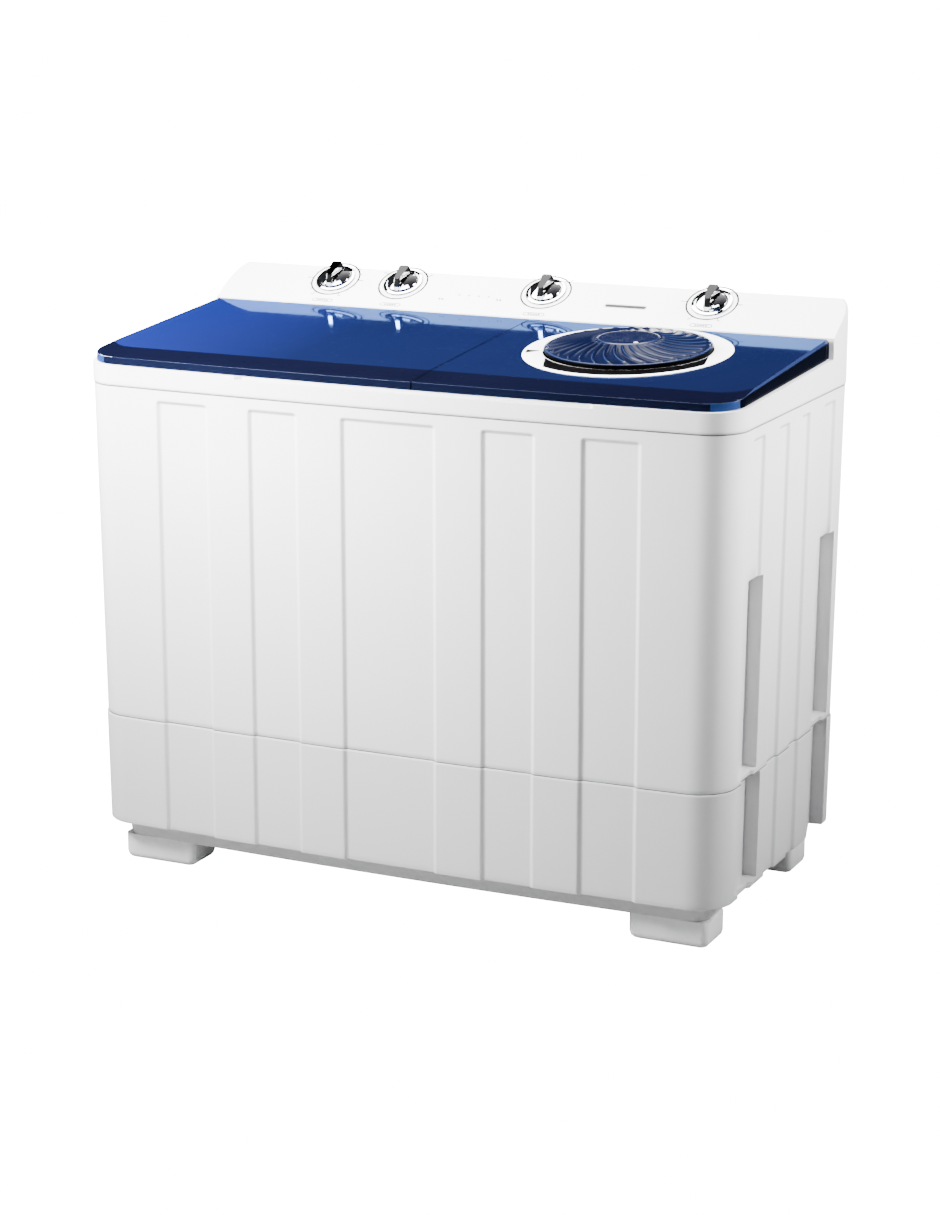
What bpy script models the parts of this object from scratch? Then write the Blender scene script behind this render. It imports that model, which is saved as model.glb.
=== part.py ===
"""Twin-tub washing machine: a wash tub on the left and a spin tub on the right.

Metres, +Z up, the front faces -Y. The origin is on the ground at the middle of the footprint.
"""
import math

import bmesh
import bpy
from mathutils import Matrix, Vector

# ---- Driving dimensions ---------------------------------------------------------------------------
WIDTH = 0.990
DEPTH = 0.478                  # flat rear wall to the front wall's corners
FRONT_BOW = 0.0134             # how far the front wall bulges at its middle
SKIRT_HEIGHT = 0.0644          # ground to the lower edge of the base's wall
BASE_HEIGHT = 0.1632
CABINET_HEIGHT = 0.4868
RIM_HEIGHT = 0.0290            # top frame's wall at the front
RIM_SLOPE = 0.0385             # rise of the frame's deck towards the rear
LID_RISE = 0.0140              # lid's top plane over the frame's rim, at the front wall's plane
LID_SLOPE = 0.078
WALL = 0.003
LID_WALL = 0.0025
GAP = 0.0003                   # between pieces that touch
LID_GAP = 0.0008               # under and between the closed lids
CORNER_FRONT = 0.053
CORNER_REAR = 0.0275
TAPER_X = 0.013                # narrowing per metre of height, towards the ground
TAPER_Y = 0.005
FRAME_OVERHANG = 0.0015

RIB_DEPTH = 0.004
RIB_RUN = 0.006
RIB_HALF_WIDTHS = ((0.0000, 0.0730), (0.1380, 0.2185), (0.2815, 0.3675))
SIDE_RIBS = ((-0.1661, -0.1144), (-0.0627, -0.0165), (0.0297, 0.0682), (0.1243, 0.1782))
RIB_TOP_DROP = 0.0159          # below the frame's seam

SCOOP_DEPTH = 0.020
SCOOP_FRONT = (-0.1815, -0.1056)
SCOOP_REAR = (0.1200, 0.1940)
SCOOP_STEP = 0.002
SCOOP_TOP_DROP = 0.2084        # below the frame's seam
BASE_SCOOP_SHIFT = 0.0130      # the base's front scoop reaches this much further back
LEDGE = 0.0100

FOOT_SIZE = (0.1166, 0.0720)
FOOT_INSET = 0.0273
FOOT_ROUND = 0.010
PAN_DROP = 0.0254              # under-pan below the base's wall

LID_INSET = 0.0055
LID_SPLIT_X = 0.0345
LID_TOP_FRONT_Y = -0.1854      # where the flat top breaks into the sloped front band
LID_LIP = 0.0102
LID_REAR_Y = 0.1505
LID_SWEEP = 0.0035             # room behind the lids for their rear edges to turn
HINGE_BACKSET = 0.0085         # hinge axis in front of the lids' rear edge
HINGE_DROP = 0.0090            # hinge axis under the lids' top
HINGE_PIN_RADIUS = 0.0020
PIN_REACH = 0.0170             # from the lid's inner wall, through the bracket
BRACKET_WIDTH = 0.0100
BRACKET_SETBACK = 0.0048       # from the lid's inner wall to the bracket
BRACKET_CLEAR = 0.0015
BRACKET_Y = (-0.0070, 0.0036)  # about the hinge axis

RECESS_X = (-0.236, 0.300)     # finger recess along the frame's front edge
RECESS_DEPTH = 0.0065
RECESS_DROP = 0.0048
WASH_OPENING_MARGIN = 0.006    # the frame's opening outside the tub's inner wall

PANEL_ANGLE = math.radians(30.5)
PANEL_END_ROUND = 0.030
PANEL_REAR_ROUND = 0.008

REAR_COVER_X = (-0.420, 0.420)
REAR_COVER_Z = (0.250, 0.640)
REAR_COVER_ROUND = 0.010
REAR_COVER_THICKNESS = 0.002
REAR_LAP = 0.014               # the cover's edge over its window
SCREW_INSET = 0.007            # from the cover's edges to its screws

WASH_TUB_X = (-0.4420, -0.0230)
WASH_TUB_Y = (-0.2120, 0.1320)
WASH_TUB_FLOOR = 0.3350
TUB_ROUND = 0.060
TUB_LIP = 0.008
TUB_INSET_BOTTOM = 0.008
TUB_FLOOR_ROUND = 0.012
TUB_DRIVE_HOLE = 0.024         # hole in the tub's floor round the drive shaft
SPIN_AXIS = (0.2487, 0.0000)
SPIN_TUB_RADIUS = 0.1520
SPIN_TUB_FLOOR = 0.2600
BASKET_RADIUS = 0.1250
BASKET_HEIGHT = 0.3700
BASKET_WALL = 0.0018
SHAFT_RADIUS = 0.0080
PULSATOR_RADIUS = 0.1360
PULSATOR_HEIGHT = 0.0200
WASH_MOTOR_XY = (-0.3850, 0.0950)
WASH_MOTOR_RADIUS = 0.0560
BIG_PULLEY_RADIUS = 0.0850
SMALL_PULLEY_RADIUS = 0.0280
BELT_Z = 0.2440
BELT_SECTION = (0.0050, 0.0080)
SPIN_MOTOR_RADIUS = 0.0620
SPIN_MOTOR_HEIGHT = 0.1050
MOUNT_HEIGHT = 0.0320
BRAKE_RADIUS = 0.040
BRAKE_CLEAR = 0.0055           # lever to drum when the lid is shut
BRAKE_ARM = 0.055
LEVER_WIDTH = 0.010

RING_RADIUS = 0.1460
RING_HEIGHT = 0.0015
DIAL_RADIUS = 0.1175
DIAL_HEIGHT = 0.0200
HUB_RADIUS = 0.0430
VENT_COUNT = 8
VENT_RADII = (0.050, 0.098)
DIAL_BOSS_RADIUS = 0.0080

KNOB_X = {"wash_timer": -0.3159, "wash_mode": -0.2014, "drain": 0.0333, "spin_timer": 0.2937}
KNOB_RADIUS = 0.0305
KNOB_PLATE = 0.0050
GRIP_SIZE = (0.0480, 0.0150, 0.0170)
KNOB_ALONG = 0.0610            # from the panel's foot up the slope to the knobs' axes
KNOB_SHAFT_RADIUS = 0.0040
TIMER_SIZE = (0.0480, 0.0340, 0.0220)
TIMER_NAMES = {"wash_timer": "wash_timer_unit", "wash_mode": "wash_mode_switch",
               "drain": "drain_selector_unit", "spin_timer": "spin_timer_unit"}

INLET_X = -0.080
INLET_RISE = 0.0756             # water inlet above the frame's seam
INLET_RADIUS = 0.0090
DRAIN_BEND = 0.030
DRAIN_RISE = 0.045             # drain outlet above the base's lower edge
VALVE_TOP = 0.330
VALVE_RADIUS = 0.021
GLAND_XZ = (0.445, 0.2420)
CAPACITOR_XY = (0.090, -0.120)
CAPACITOR_SIZE = (0.020, 0.075)
LID_SWITCH_LOW = (0.437, 0.098)
LID_SWITCH_SIZE = (0.032, 0.020, 0.022)
FILTER_HALF_WIDTH = 0.045
FILTER_DEPTH = 0.015
FILTER_SETBACK = 0.015         # from the tub's rear wall
FILTER_Z = (0.520, 0.660)
FILTER_WALL = 0.006

# ---- Derived places -------------------------------------------------------------------------------
PAN_Z = SKIRT_HEIGHT - PAN_DROP
BASE_SEAM = SKIRT_HEIGHT + BASE_HEIGHT
FRAME_SEAM = BASE_SEAM + CABINET_HEIGHT
PAN_FLOOR = PAN_Z + WALL
HINGE_Y = LID_REAR_Y - HINGE_BACKSET
PANEL_FOOT_Y = LID_REAR_Y + LID_SWEEP
DRAIN_OUTLET_Z = SKIRT_HEIGHT + DRAIN_RISE
LID_SPANS = {"wash_lid": (-WIDTH / 2, LID_SPLIT_X - LID_GAP),
             "spin_lid": (LID_SPLIT_X + LID_GAP, WIDTH / 2)}
SEGMENTS = 28


def rim_z(y):
    """Height of the top frame's deck."""
    return FRAME_SEAM + RIM_HEIGHT + RIM_SLOPE * (y + DEPTH / 2)


def lid_z(y):
    """Height of the closed lids' flat top."""
    return FRAME_SEAM + RIM_HEIGHT + LID_RISE + LID_SLOPE * (y + DEPTH / 2)


HINGE_Z = lid_z(HINGE_Y) - HINGE_DROP
PANEL_FOOT_Z = lid_z(PANEL_FOOT_Y)


def panel_point(along, height=0.0, x=0.0):
    """A point on the control panel: up its slope from its foot, and out along its normal."""
    y = PANEL_FOOT_Y + along * math.cos(PANEL_ANGLE) - height * math.sin(PANEL_ANGLE)
    z = PANEL_FOOT_Z + along * math.sin(PANEL_ANGLE) + height * math.cos(PANEL_ANGLE)
    return Vector((x, y, z))


# ---- Scene and helpers ----------------------------------------------------------------------------
for stale in list(bpy.data.objects):
    bpy.data.objects.remove(stale, do_unlink=True)

PARTS = bpy.data.collections.new("twin_tub_washing_machine")
CUTTERS = bpy.data.collections.new("cutters")
bpy.context.scene.collection.children.link(PARTS)
bpy.context.scene.collection.children.link(CUTTERS)


def make_material(name, color, roughness, metallic=0.0):
    material = bpy.data.materials.new(name)
    material.use_nodes = True
    shader = material.node_tree.nodes["Principled BSDF"]
    shader.inputs["Base Color"].default_value = (*color, 1.0)
    shader.inputs["Roughness"].default_value = roughness
    shader.inputs["Metallic"].default_value = metallic
    material.diffuse_color = (*color, 1.0)
    return material


FINISHES = {
    "white": ((0.88, 0.89, 0.90), 0.35, 0.0),
    "blue": ((0.03, 0.09, 0.36), 0.12, 0.0),
    "chrome": ((0.80, 0.81, 0.83), 0.08, 1.0),
    "black": ((0.02, 0.02, 0.02), 0.30, 0.0),
    "grey": ((0.45, 0.46, 0.48), 0.45, 0.0),
    "steel": ((0.55, 0.56, 0.58), 0.30, 1.0),
    "rubber": ((0.04, 0.04, 0.04), 0.80, 0.0),
    "tub": ((0.80, 0.86, 0.90), 0.40, 0.0),
    "copper": ((0.70, 0.36, 0.18), 0.35, 1.0),
}


def add_object(name, mesh, finish, collection=PARTS):
    obj = bpy.data.objects.new(name, mesh)
    collection.objects.link(obj)
    if finish:
        mesh.materials.append(make_material(name, *FINISHES[finish]))
    return obj


def add_bmesh(name, shape, finish, collection=PARTS):
    bmesh.ops.recalc_face_normals(shape, faces=shape.faces)
    mesh = bpy.data.meshes.new(name)
    shape.to_mesh(mesh)
    shape.free()
    return add_object(name, mesh, finish, collection)


def loft(name, rings, finish, hollow=False, collection=PARTS):
    """A solid through rings of equal point counts; hollow joins the last ring to the first."""
    shape = bmesh.new()
    loops = [[shape.verts.new(point) for point in ring] for ring in rings]
    pairs = list(zip(loops, loops[1:]))
    if hollow:
        pairs.append((loops[-1], loops[0]))
    for lower, upper in pairs:
        for i in range(len(lower)):
            j = (i + 1) % len(lower)
            shape.faces.new((lower[i], lower[j], upper[j], upper[i]))
    if not hollow:
        shape.faces.new(loops[0])
        shape.faces.new(loops[-1])
    return add_bmesh(name, shape, finish, collection)


def box(name, low, high, finish=None, collection=PARTS):
    shape = bmesh.new()
    size = Vector(high) - Vector(low)
    middle = (Vector(high) + Vector(low)) / 2
    matrix = Matrix.Translation(middle) @ Matrix.Diagonal((*size, 1.0))
    bmesh.ops.create_cube(shape, size=1.0, matrix=matrix)
    return add_bmesh(name, shape, finish, collection)


def cylinder(name, radius, low, high, xy=(0, 0), finish=None, collection=PARTS, segments=SEGMENTS,
             top_radius=None):
    shape = bmesh.new()
    matrix = Matrix.Translation((xy[0], xy[1], (low + high) / 2))
    top = radius if top_radius is None else top_radius
    bmesh.ops.create_cone(shape, cap_ends=True, segments=segments, radius1=radius, radius2=top,
                          depth=high - low, matrix=matrix)
    return add_bmesh(name, shape, finish, collection)


def turned(name, profile, finish, closed=False, steps=SEGMENTS, collection=PARTS):
    """Turns a profile of (radius, height) points about the object's own Z."""
    mesh = bpy.data.meshes.new(name)
    edges = [(i, i + 1) for i in range(len(profile) - 1)]
    if closed:
        edges.append((len(profile) - 1, 0))
    mesh.from_pydata([(radius, 0, height) for radius, height in profile], edges, [])
    obj = add_object(name, mesh, finish, collection)
    screw = obj.modifiers.new("Turn", "SCREW")
    screw.axis = "Z"
    screw.steps = steps
    screw.render_steps = steps
    screw.use_merge_vertices = True
    screw.merge_threshold = 0.0001
    return obj


def prism(name, outline, low, high, axis, finish=None, collection=PARTS):
    """Extrudes an outline of (u, v) points along X, Y or Z."""
    place = {"X": lambda u, v, w: (w, u, v), "Y": lambda u, v, w: (u, w, v),
             "Z": lambda u, v, w: (u, v, w)}
    rings = [[place[axis](u, v, w) for u, v in outline] for w in (low, high)]
    return loft(name, rings, finish, collection=collection)


def boolean(obj, tool, operation):
    modifier = obj.modifiers.new(operation.title(), "BOOLEAN")
    modifier.operation = operation
    modifier.object = tool
    modifier.solver = "EXACT"
    tool.hide_render = True
    tool.display_type = "WIRE"
    for collection in list(tool.users_collection):
        collection.objects.unlink(tool)
    CUTTERS.objects.link(tool)
    return obj


def cut(obj, tool):
    return boolean(obj, tool, "DIFFERENCE")


def join(obj, tool):
    return boolean(obj, tool, "UNION")


def keep(obj, tool):
    return boolean(obj, tool, "INTERSECT")


def set_origin(obj, point):
    """Moves the object's origin onto its joint's axis and leaves its shape in place."""
    obj.data.transform(Matrix.Translation(-Vector(point)))
    obj.location = point


def arc(middle, radius, start, stop, steps):
    angles = [math.radians(start + (stop - start) * i / steps) for i in range(steps + 1)]
    return [(middle[0] + radius * math.cos(a), middle[1] + radius * math.sin(a)) for a in angles]


def rounded_rectangle(low, high, radius, steps=4):
    """Points of a rounded rectangle, anticlockwise from its lower left corner."""
    left, bottom = low[0] + radius, low[1] + radius
    right, top = high[0] - radius, high[1] - radius
    corners = (((left, bottom), 180), ((right, bottom), 270), ((right, top), 0), ((left, top), 90))
    return [p for middle, start in corners for p in arc(middle, radius, start, start + 90, steps)]


# ---- Plan outline shared by the base, cabinet, frame and lids --------------------------------------
def bow(x):
    return FRONT_BOW * max(0.0, 1 - (2 * x / WIDTH) ** 2)


def rib_spans():
    spans = [(-RIB_HALF_WIDTHS[0][1], RIB_HALF_WIDTHS[0][1])]
    for inner, outer in RIB_HALF_WIDTHS[1:]:
        spans += [(inner, outer), (-outer, -inner)]
    return sorted(spans)


def front_points(half_depth, rib):
    points = []
    for start, stop in rib_spans():
        for x, depth in ((start, 0), (start + RIB_RUN, rib), (stop - RIB_RUN, rib), (stop, 0)):
            points.append((x, -half_depth - bow(x) + depth))
    return points


def side_points(half_width, rib, scoop_depths, steps):
    """The right side's points, front to rear; a scoop is a ramp inwards that ends in a step."""
    points = []
    scoops = ((SCOOP_FRONT[0], steps[0]), (SCOOP_REAR[0], steps[1]))

    def depth_at(y, own):
        for (start, stop), depth in zip(scoops, scoop_depths):
            if depth and start <= y <= stop:
                return depth * min(1.0, (y - start) / (stop - SCOOP_STEP - start))
        return own

    def rib_points(span):
        start, stop = span
        for y, own in ((start, 0), (start + RIB_RUN, rib), (stop - RIB_RUN, rib), (stop, 0)):
            points.append((half_width - depth_at(y, own), y))

    def scoop_end(index):
        stop = scoops[index][1]
        points.append((half_width - depth_at(stop - SCOOP_STEP, 0), stop - SCOOP_STEP))
        points.append((half_width, stop))

    points.append((half_width, SCOOP_FRONT[0]))
    rib_points(SIDE_RIBS[0])
    scoop_end(0)
    rib_points(SIDE_RIBS[1])
    rib_points(SIDE_RIBS[2])
    points.append((half_width, SCOOP_REAR[0]))
    rib_points(SIDE_RIBS[3])
    scoop_end(1)
    return points


def plan(z, inset=0.0, rib=0.0, scoops=(0.0, 0.0), step_shift=0.0, details=True):
    """The machine's outline at one height, anticlockwise from the front's left end."""
    drop = max(0.0, FRAME_SEAM - z)
    half_width = WIDTH / 2 - TAPER_X * drop - inset
    half_depth = DEPTH / 2 - TAPER_Y * drop - inset
    front_radius = max(0.004, CORNER_FRONT - inset)
    rear_radius = max(0.004, CORNER_REAR - inset)
    if details:
        front = front_points(half_depth, rib)
        behind = min(inset, 2 * WALL)
        steps = (SCOOP_FRONT[1] + step_shift + behind, SCOOP_REAR[1] + behind)
        right = side_points(half_width, rib, scoops, steps)
    else:
        front = [(WIDTH * t, -half_depth - bow(WIDTH * t)) for t in (-0.36, -0.18, 0.0, 0.18, 0.36)]
        right = []
    middle = (half_width - front_radius, -half_depth + front_radius)
    front_corner = arc(middle, front_radius, 270, 360, 6)
    front_corner = [(x, y - bow(x)) for x, y in front_corner]
    rear_corner = arc((half_width - rear_radius, half_depth - rear_radius), rear_radius, 0, 90, 3)
    half = front_corner + right + rear_corner
    mirrored = [(-x, y) for x, y in reversed(half)]
    return front + half + mirrored


def ring_at(z, outline):
    return [(x, y, z) for x, y in outline]


# ---- Base, feet and cabinet -----------------------------------------------------------------------
def base_rings(inset, lift):
    """Rings of the base's wall from its lower edge up; lift raises the floor side of each ledge."""
    full = (SCOOP_DEPTH, SCOOP_DEPTH)
    lower = (0.0, SCOOP_DEPTH)
    shift = BASE_SCOOP_SHIFT
    top = BASE_SEAM - GAP
    ledge_top = SKIRT_HEIGHT + LEDGE
    half_lift = lift * 0.5
    levels = ((SKIRT_HEIGHT + lift, lower), (ledge_top - half_lift, lower),
              (ledge_top + 0.002 - half_lift, full), (top - 0.008 + half_lift, full),
              (top, (0.008, 0.008)))
    return [ring_at(z, plan(z, inset, RIB_DEPTH, scoops, shift)) for z, scoops in levels]


def pan_ring(z, inset):
    return ring_at(z, plan(SKIRT_HEIGHT, inset, details=True))


def make_base():
    outer = base_rings(0.0, 0.0)
    inner = base_rings(WALL, WALL)
    pan_inset = FOOT_INSET
    under = [pan_ring(PAN_Z, pan_inset + 0.004), pan_ring(SKIRT_HEIGHT, pan_inset)]
    floor = [pan_ring(SKIRT_HEIGHT + WALL, pan_inset + WALL), pan_ring(PAN_FLOOR, pan_inset + WALL + 0.004)]
    rings = under + outer + list(reversed(inner)) + floor
    return loft("base_housing", rings, "white")


def make_feet():
    drop = FRAME_SEAM - SKIRT_HEIGHT
    half_x = WIDTH / 2 - TAPER_X * drop - FOOT_INSET
    half_y = DEPTH / 2 - TAPER_Y * drop - FOOT_INSET
    for side, sx in (("left", -1), ("right", 1)):
        for end, sy in (("front", -1), ("rear", 1)):
            xs = sorted((sx * half_x, sx * (half_x - FOOT_SIZE[0])))
            ys = sorted((sy * half_y, sy * (half_y - FOOT_SIZE[1])))
            foot = box(f"foot_{end}_{side}", (xs[0], ys[0], 0), (xs[1], ys[1], PAN_Z - GAP), "white")
            bevel = foot.modifiers.new("Rounding", "BEVEL")
            bevel.width = FOOT_ROUND
            bevel.segments = 2
            bevel.limit_method = "WEIGHT"
            weights = foot.data.attributes.new("bevel_weight_edge", "FLOAT", "EDGE")
            top = PAN_Z - GAP - 0.001
            for edge in foot.data.edges:
                heights = [foot.data.vertices[v].co.z for v in edge.vertices]
                weights.data[edge.index].value = 0.0 if min(heights) > top else 1.0


def cabinet_rings(inset, lift):
    full = (SCOOP_DEPTH, SCOOP_DEPTH)
    none = (0.0, 0.0)
    ledge = BASE_SEAM + LEDGE
    scoop_top = FRAME_SEAM - SCOOP_TOP_DROP
    rib_top = FRAME_SEAM - RIB_TOP_DROP
    levels = ((BASE_SEAM + GAP, RIB_DEPTH, none), (ledge - 0.002 - lift, RIB_DEPTH, none),
              (ledge - lift, RIB_DEPTH, full), (scoop_top - 0.006 + lift, RIB_DEPTH, full),
              (scoop_top + lift, RIB_DEPTH, none), (rib_top - RIB_DEPTH, RIB_DEPTH, none),
              (rib_top, 0.0, none), (FRAME_SEAM - GAP, 0.0, none))
    extra = FRAME_OVERHANG + inset
    return [ring_at(z, plan(z, extra, rib, scoops)) for z, rib, scoops in levels]


def make_cabinet():
    outer = cabinet_rings(0.0, 0.0)
    inner = cabinet_rings(WALL, WALL)
    cabinet = loft("cabinet_shell", outer + list(reversed(inner)), "white", hollow=True)
    low, high = rear_window()
    return cut(cabinet, box("rear_window_cutter", low, high))


def rear_window():
    low = (REAR_COVER_X[0] + REAR_LAP, DEPTH / 2 - 0.02, REAR_COVER_Z[0] + REAR_LAP)
    high = (REAR_COVER_X[1] - REAR_LAP, DEPTH / 2 + 0.02, REAR_COVER_Z[1] - REAR_LAP)
    return low, high


def make_rear_cover():
    """A flat plate on the rear wall, leaning with the wall's taper."""
    lean = math.atan(TAPER_Y)
    thickness = REAR_COVER_THICKNESS
    middle = (REAR_COVER_Z[0] + REAR_COVER_Z[1]) / 2
    wall_y = DEPTH / 2 - FRAME_OVERHANG - TAPER_Y * (FRAME_SEAM - middle)
    half = (REAR_COVER_Z[1] - REAR_COVER_Z[0]) / 2
    low, high = (REAR_COVER_X[0], -half), (REAR_COVER_X[1], half)
    outline = rounded_rectangle(low, high, REAR_COVER_ROUND, 3)
    cover = prism("rear_cover", outline, GAP, GAP + thickness, "Y", "grey")
    turn = Matrix.Rotation(-lean, 4, "X")
    cover.matrix_world = Matrix.Translation((0, wall_y, middle)) @ turn
    seat = GAP + thickness + GAP
    profile = [(0.0, seat + 0.0022), (0.0022, seat + 0.0020), (0.0038, seat + 0.0008),
               (0.0038, seat), (0.0, seat)]
    for i, (sx, sz) in enumerate(((-1, -1), (1, -1), (-1, 1), (1, 1))):
        x = sx * (REAR_COVER_X[1] - SCREW_INSET)
        z = sz * (half - SCREW_INSET)
        screw = turned(f"rear_cover_screw_{i + 1}", profile, "steel", steps=12)
        place = Matrix.Translation((x, 0, z)) @ Matrix.Rotation(-math.pi / 2, 4, "X")
        screw.matrix_world = cover.matrix_world @ place


# ---- Top frame and control panel ------------------------------------------------------------------
def frame_profile(inset, bar):
    """Side outline of the frame: deck, panel foot, sloped panel and rear; bar keeps a solid front edge."""
    bottom = FRAME_SEAM + GAP if inset == 0 else FRAME_SEAM - 0.02
    far = DEPTH
    foot_y = PANEL_FOOT_Y + inset
    slope = math.tan(PANEL_ANGLE)
    drop = inset / math.cos(PANEL_ANGLE)
    rear_y = DEPTH / 2 - inset
    start_y = rear_y - PANEL_REAR_ROUND * 1.2
    top_z = PANEL_FOOT_Z + slope * (start_y - PANEL_FOOT_Y) - drop
    foot_z = PANEL_FOOT_Z + slope * (foot_y - PANEL_FOOT_Y) - drop
    front_y = -DEPTH / 2 + 0.014
    points = [(-far, bottom)]
    if bar:
        points += [(-far, rim_z(-DEPTH / 2) - bar), (front_y, rim_z(front_y) - bar),
                   (front_y, rim_z(front_y) - inset)]
    else:
        points += [(-far, rim_z(-far))]
    points += [(foot_y, rim_z(foot_y) - inset), (foot_y, foot_z), (start_y, top_z)]
    crest = (start_y + PANEL_REAR_ROUND * 0.75, top_z + 0.0008)
    rear_z = top_z - PANEL_REAR_ROUND * 0.9
    points += [crest, (rear_y, rear_z), (far, rear_z - (far - rear_y)), (far, bottom)]
    return points


def frame_block(name, inset, bar, finish, collection):
    low = FRAME_SEAM + (GAP if inset == 0 else -0.01)
    half = WIDTH / 2 - inset
    crown = panel_point((DEPTH / 2 - PANEL_FOOT_Y) / math.cos(PANEL_ANGLE)).z - inset
    rings = [ring_at(z, plan(FRAME_SEAM, inset, details=False)) for z in (low, crown + 0.05)]
    block = loft(name, rings, finish, collection=collection)
    side = prism(name + "_side", frame_profile(inset, bar), -WIDTH, WIDTH, "X", collection=CUTTERS)
    round_end = PANEL_END_ROUND - inset
    ends = [(-half, FRAME_SEAM - 0.05), (half, FRAME_SEAM - 0.05)]
    ends += arc((half - round_end, crown - round_end), round_end, 0, 90, 5)
    ends += arc((-half + round_end, crown - round_end), round_end, 90, 180, 5)
    front = prism(name + "_front", ends, -DEPTH, DEPTH, "Y", collection=CUTTERS)
    keep(block, side)
    keep(block, front)
    return block


def make_top_frame():
    frame = frame_block("top_frame", 0.0, 0.0, "white", PARTS)
    cut(frame, frame_block("top_frame_inside", WALL, 0.012, None, CUTTERS))
    margin = TUB_LIP + WALL - WASH_OPENING_MARGIN
    low = (WASH_TUB_X[0] + margin, WASH_TUB_Y[0] + margin)
    high = (WASH_TUB_X[1] - margin, WASH_TUB_Y[1] - margin)
    outline = rounded_rectangle(low, high, TUB_ROUND - margin)
    cut(frame, prism("wash_opening", outline, FRAME_SEAM, lid_z(0) + 0.05, "Z"))
    spin_radius = SPIN_TUB_RADIUS - WALL - 0.004
    cut(frame, cylinder("spin_opening", spin_radius, FRAME_SEAM, lid_z(0) + 0.05, SPIN_AXIS))
    cut(frame, finger_recess())
    for name, x in KNOB_X.items():
        hole = cylinder(name + "_hole", KNOB_SHAFT_RADIUS + 0.001, -0.01, 0.01, segments=16)
        hole.matrix_world = panel_matrix(x)
        cut(frame, hole)
    inlet = cylinder("inlet_hole", INLET_RADIUS + GAP, -0.02, 0.02, segments=16)
    turn = Matrix.Rotation(math.pi / 2, 4, "X")
    inlet.matrix_world = Matrix.Translation((INLET_X, DEPTH / 2, FRAME_SEAM + INLET_RISE)) @ turn
    cut(frame, inlet)
    return frame


def finger_recess():
    """The shallow notch along the frame's front edge, for fingers under the lids."""
    xs = [RECESS_X[0] + (RECESS_X[1] - RECESS_X[0]) * i / 8 for i in range(9)]
    depths = [0.0005] + [RECESS_DEPTH] * 7 + [0.0005]
    back = [(x, -DEPTH / 2 - bow(x) + depth) for x, depth in zip(xs, depths)]
    front = [(xs[-1], -DEPTH), (xs[0], -DEPTH)]
    bottom = rim_z(-DEPTH / 2) - RECESS_DROP
    return prism("finger_recess", back + front, bottom, bottom + 0.05, "Z")


def panel_matrix(x):
    """Placement with local Z along the panel's normal, at a knob's axis."""
    place = Matrix.Translation(panel_point(KNOB_ALONG, 0.0, x))
    return place @ Matrix.Rotation(PANEL_ANGLE, 4, "X")


# ---- Lids -----------------------------------------------------------------------------------------
def lid_rings(inset):
    """Rings of one lid block over the whole width: lip, crease under the sloped band, and flat top."""
    half_x = WIDTH / 2 - LID_INSET - inset
    front = DEPTH / 2 - LID_INSET - inset
    rear = LID_REAR_Y - inset
    radius = CORNER_FRONT - LID_INSET - inset
    xs = [half_x * t for t in (-0.85, -0.6, -0.3, 0.0, 0.3, 0.6, 0.85)]
    steps = 6

    def outline(front_y, bow_share, side_inset, rear_y):
        edge = half_x - side_inset
        corner = arc((edge - radius, front_y + radius), radius, 270, 360, steps)
        right = [(x, y - bow(x) * bow_share) for x, y in corner] + [(edge, rear_y)]
        middle = [(x, front_y - bow(x) * bow_share) for x in xs]
        return middle + right + [(-x, y) for x, y in reversed(right)]

    def crease_height(y):
        fade = min(1.0, max(0.0, (y + front + bow(half_x - radius)) / radius))
        return (1 - fade) * (rim_z(-DEPTH / 2) + LID_GAP + LID_LIP) + fade * (lid_z(y) - 0.002) - inset

    lip = outline(-front, 1.0, 0.0, rear)
    crease = outline(-front + 0.0006, 1.0, 0.0004, rear)
    top = outline(LID_TOP_FRONT_Y + inset, 0.0, 0.0025, rear - 0.004)
    floor = LID_GAP if inset == 0 else -0.02
    low_ring = [(x, y, rim_z(y) + floor) for x, y in lip]
    mid_ring = []
    for x, y in crease:
        at_rear = y > rear - 0.001
        mid_ring.append((x, y, lid_z(y) - 0.005 - inset if at_rear else crease_height(y)))
    top_ring = [(x, y, lid_z(y) - inset) for x, y in top]
    return [low_ring, mid_ring, top_ring]


def lid_block(name, x_low, x_high, inset, finish, collection):
    block = loft(name, lid_rings(inset), finish, collection=collection)
    low = (x_low + inset, -DEPTH, FRAME_SEAM - 0.05)
    high = (x_high - inset, DEPTH, lid_z(DEPTH))
    return keep(block, box(name + "_span", low, high))


def hinge_pin(name, x_low, x_high):
    pin = cylinder(name, HINGE_PIN_RADIUS, x_low, x_high, segments=12)
    pin.matrix_world = Matrix.Translation((0, HINGE_Y, HINGE_Z)) @ Matrix.Rotation(math.pi / 2, 4, "Y")
    return pin


def lid_walls(name):
    """Inner faces of a lid's two side walls."""
    half = WIDTH / 2 - LID_INSET
    low, high = LID_SPANS[name]
    return max(low, -half) + LID_WALL, min(high, half) - LID_WALL


def bracket_spans(name):
    low, high = lid_walls(name)
    first = low + BRACKET_SETBACK
    last = high - BRACKET_SETBACK
    return (first, first + BRACKET_WIDTH), (last - BRACKET_WIDTH, last)


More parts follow.
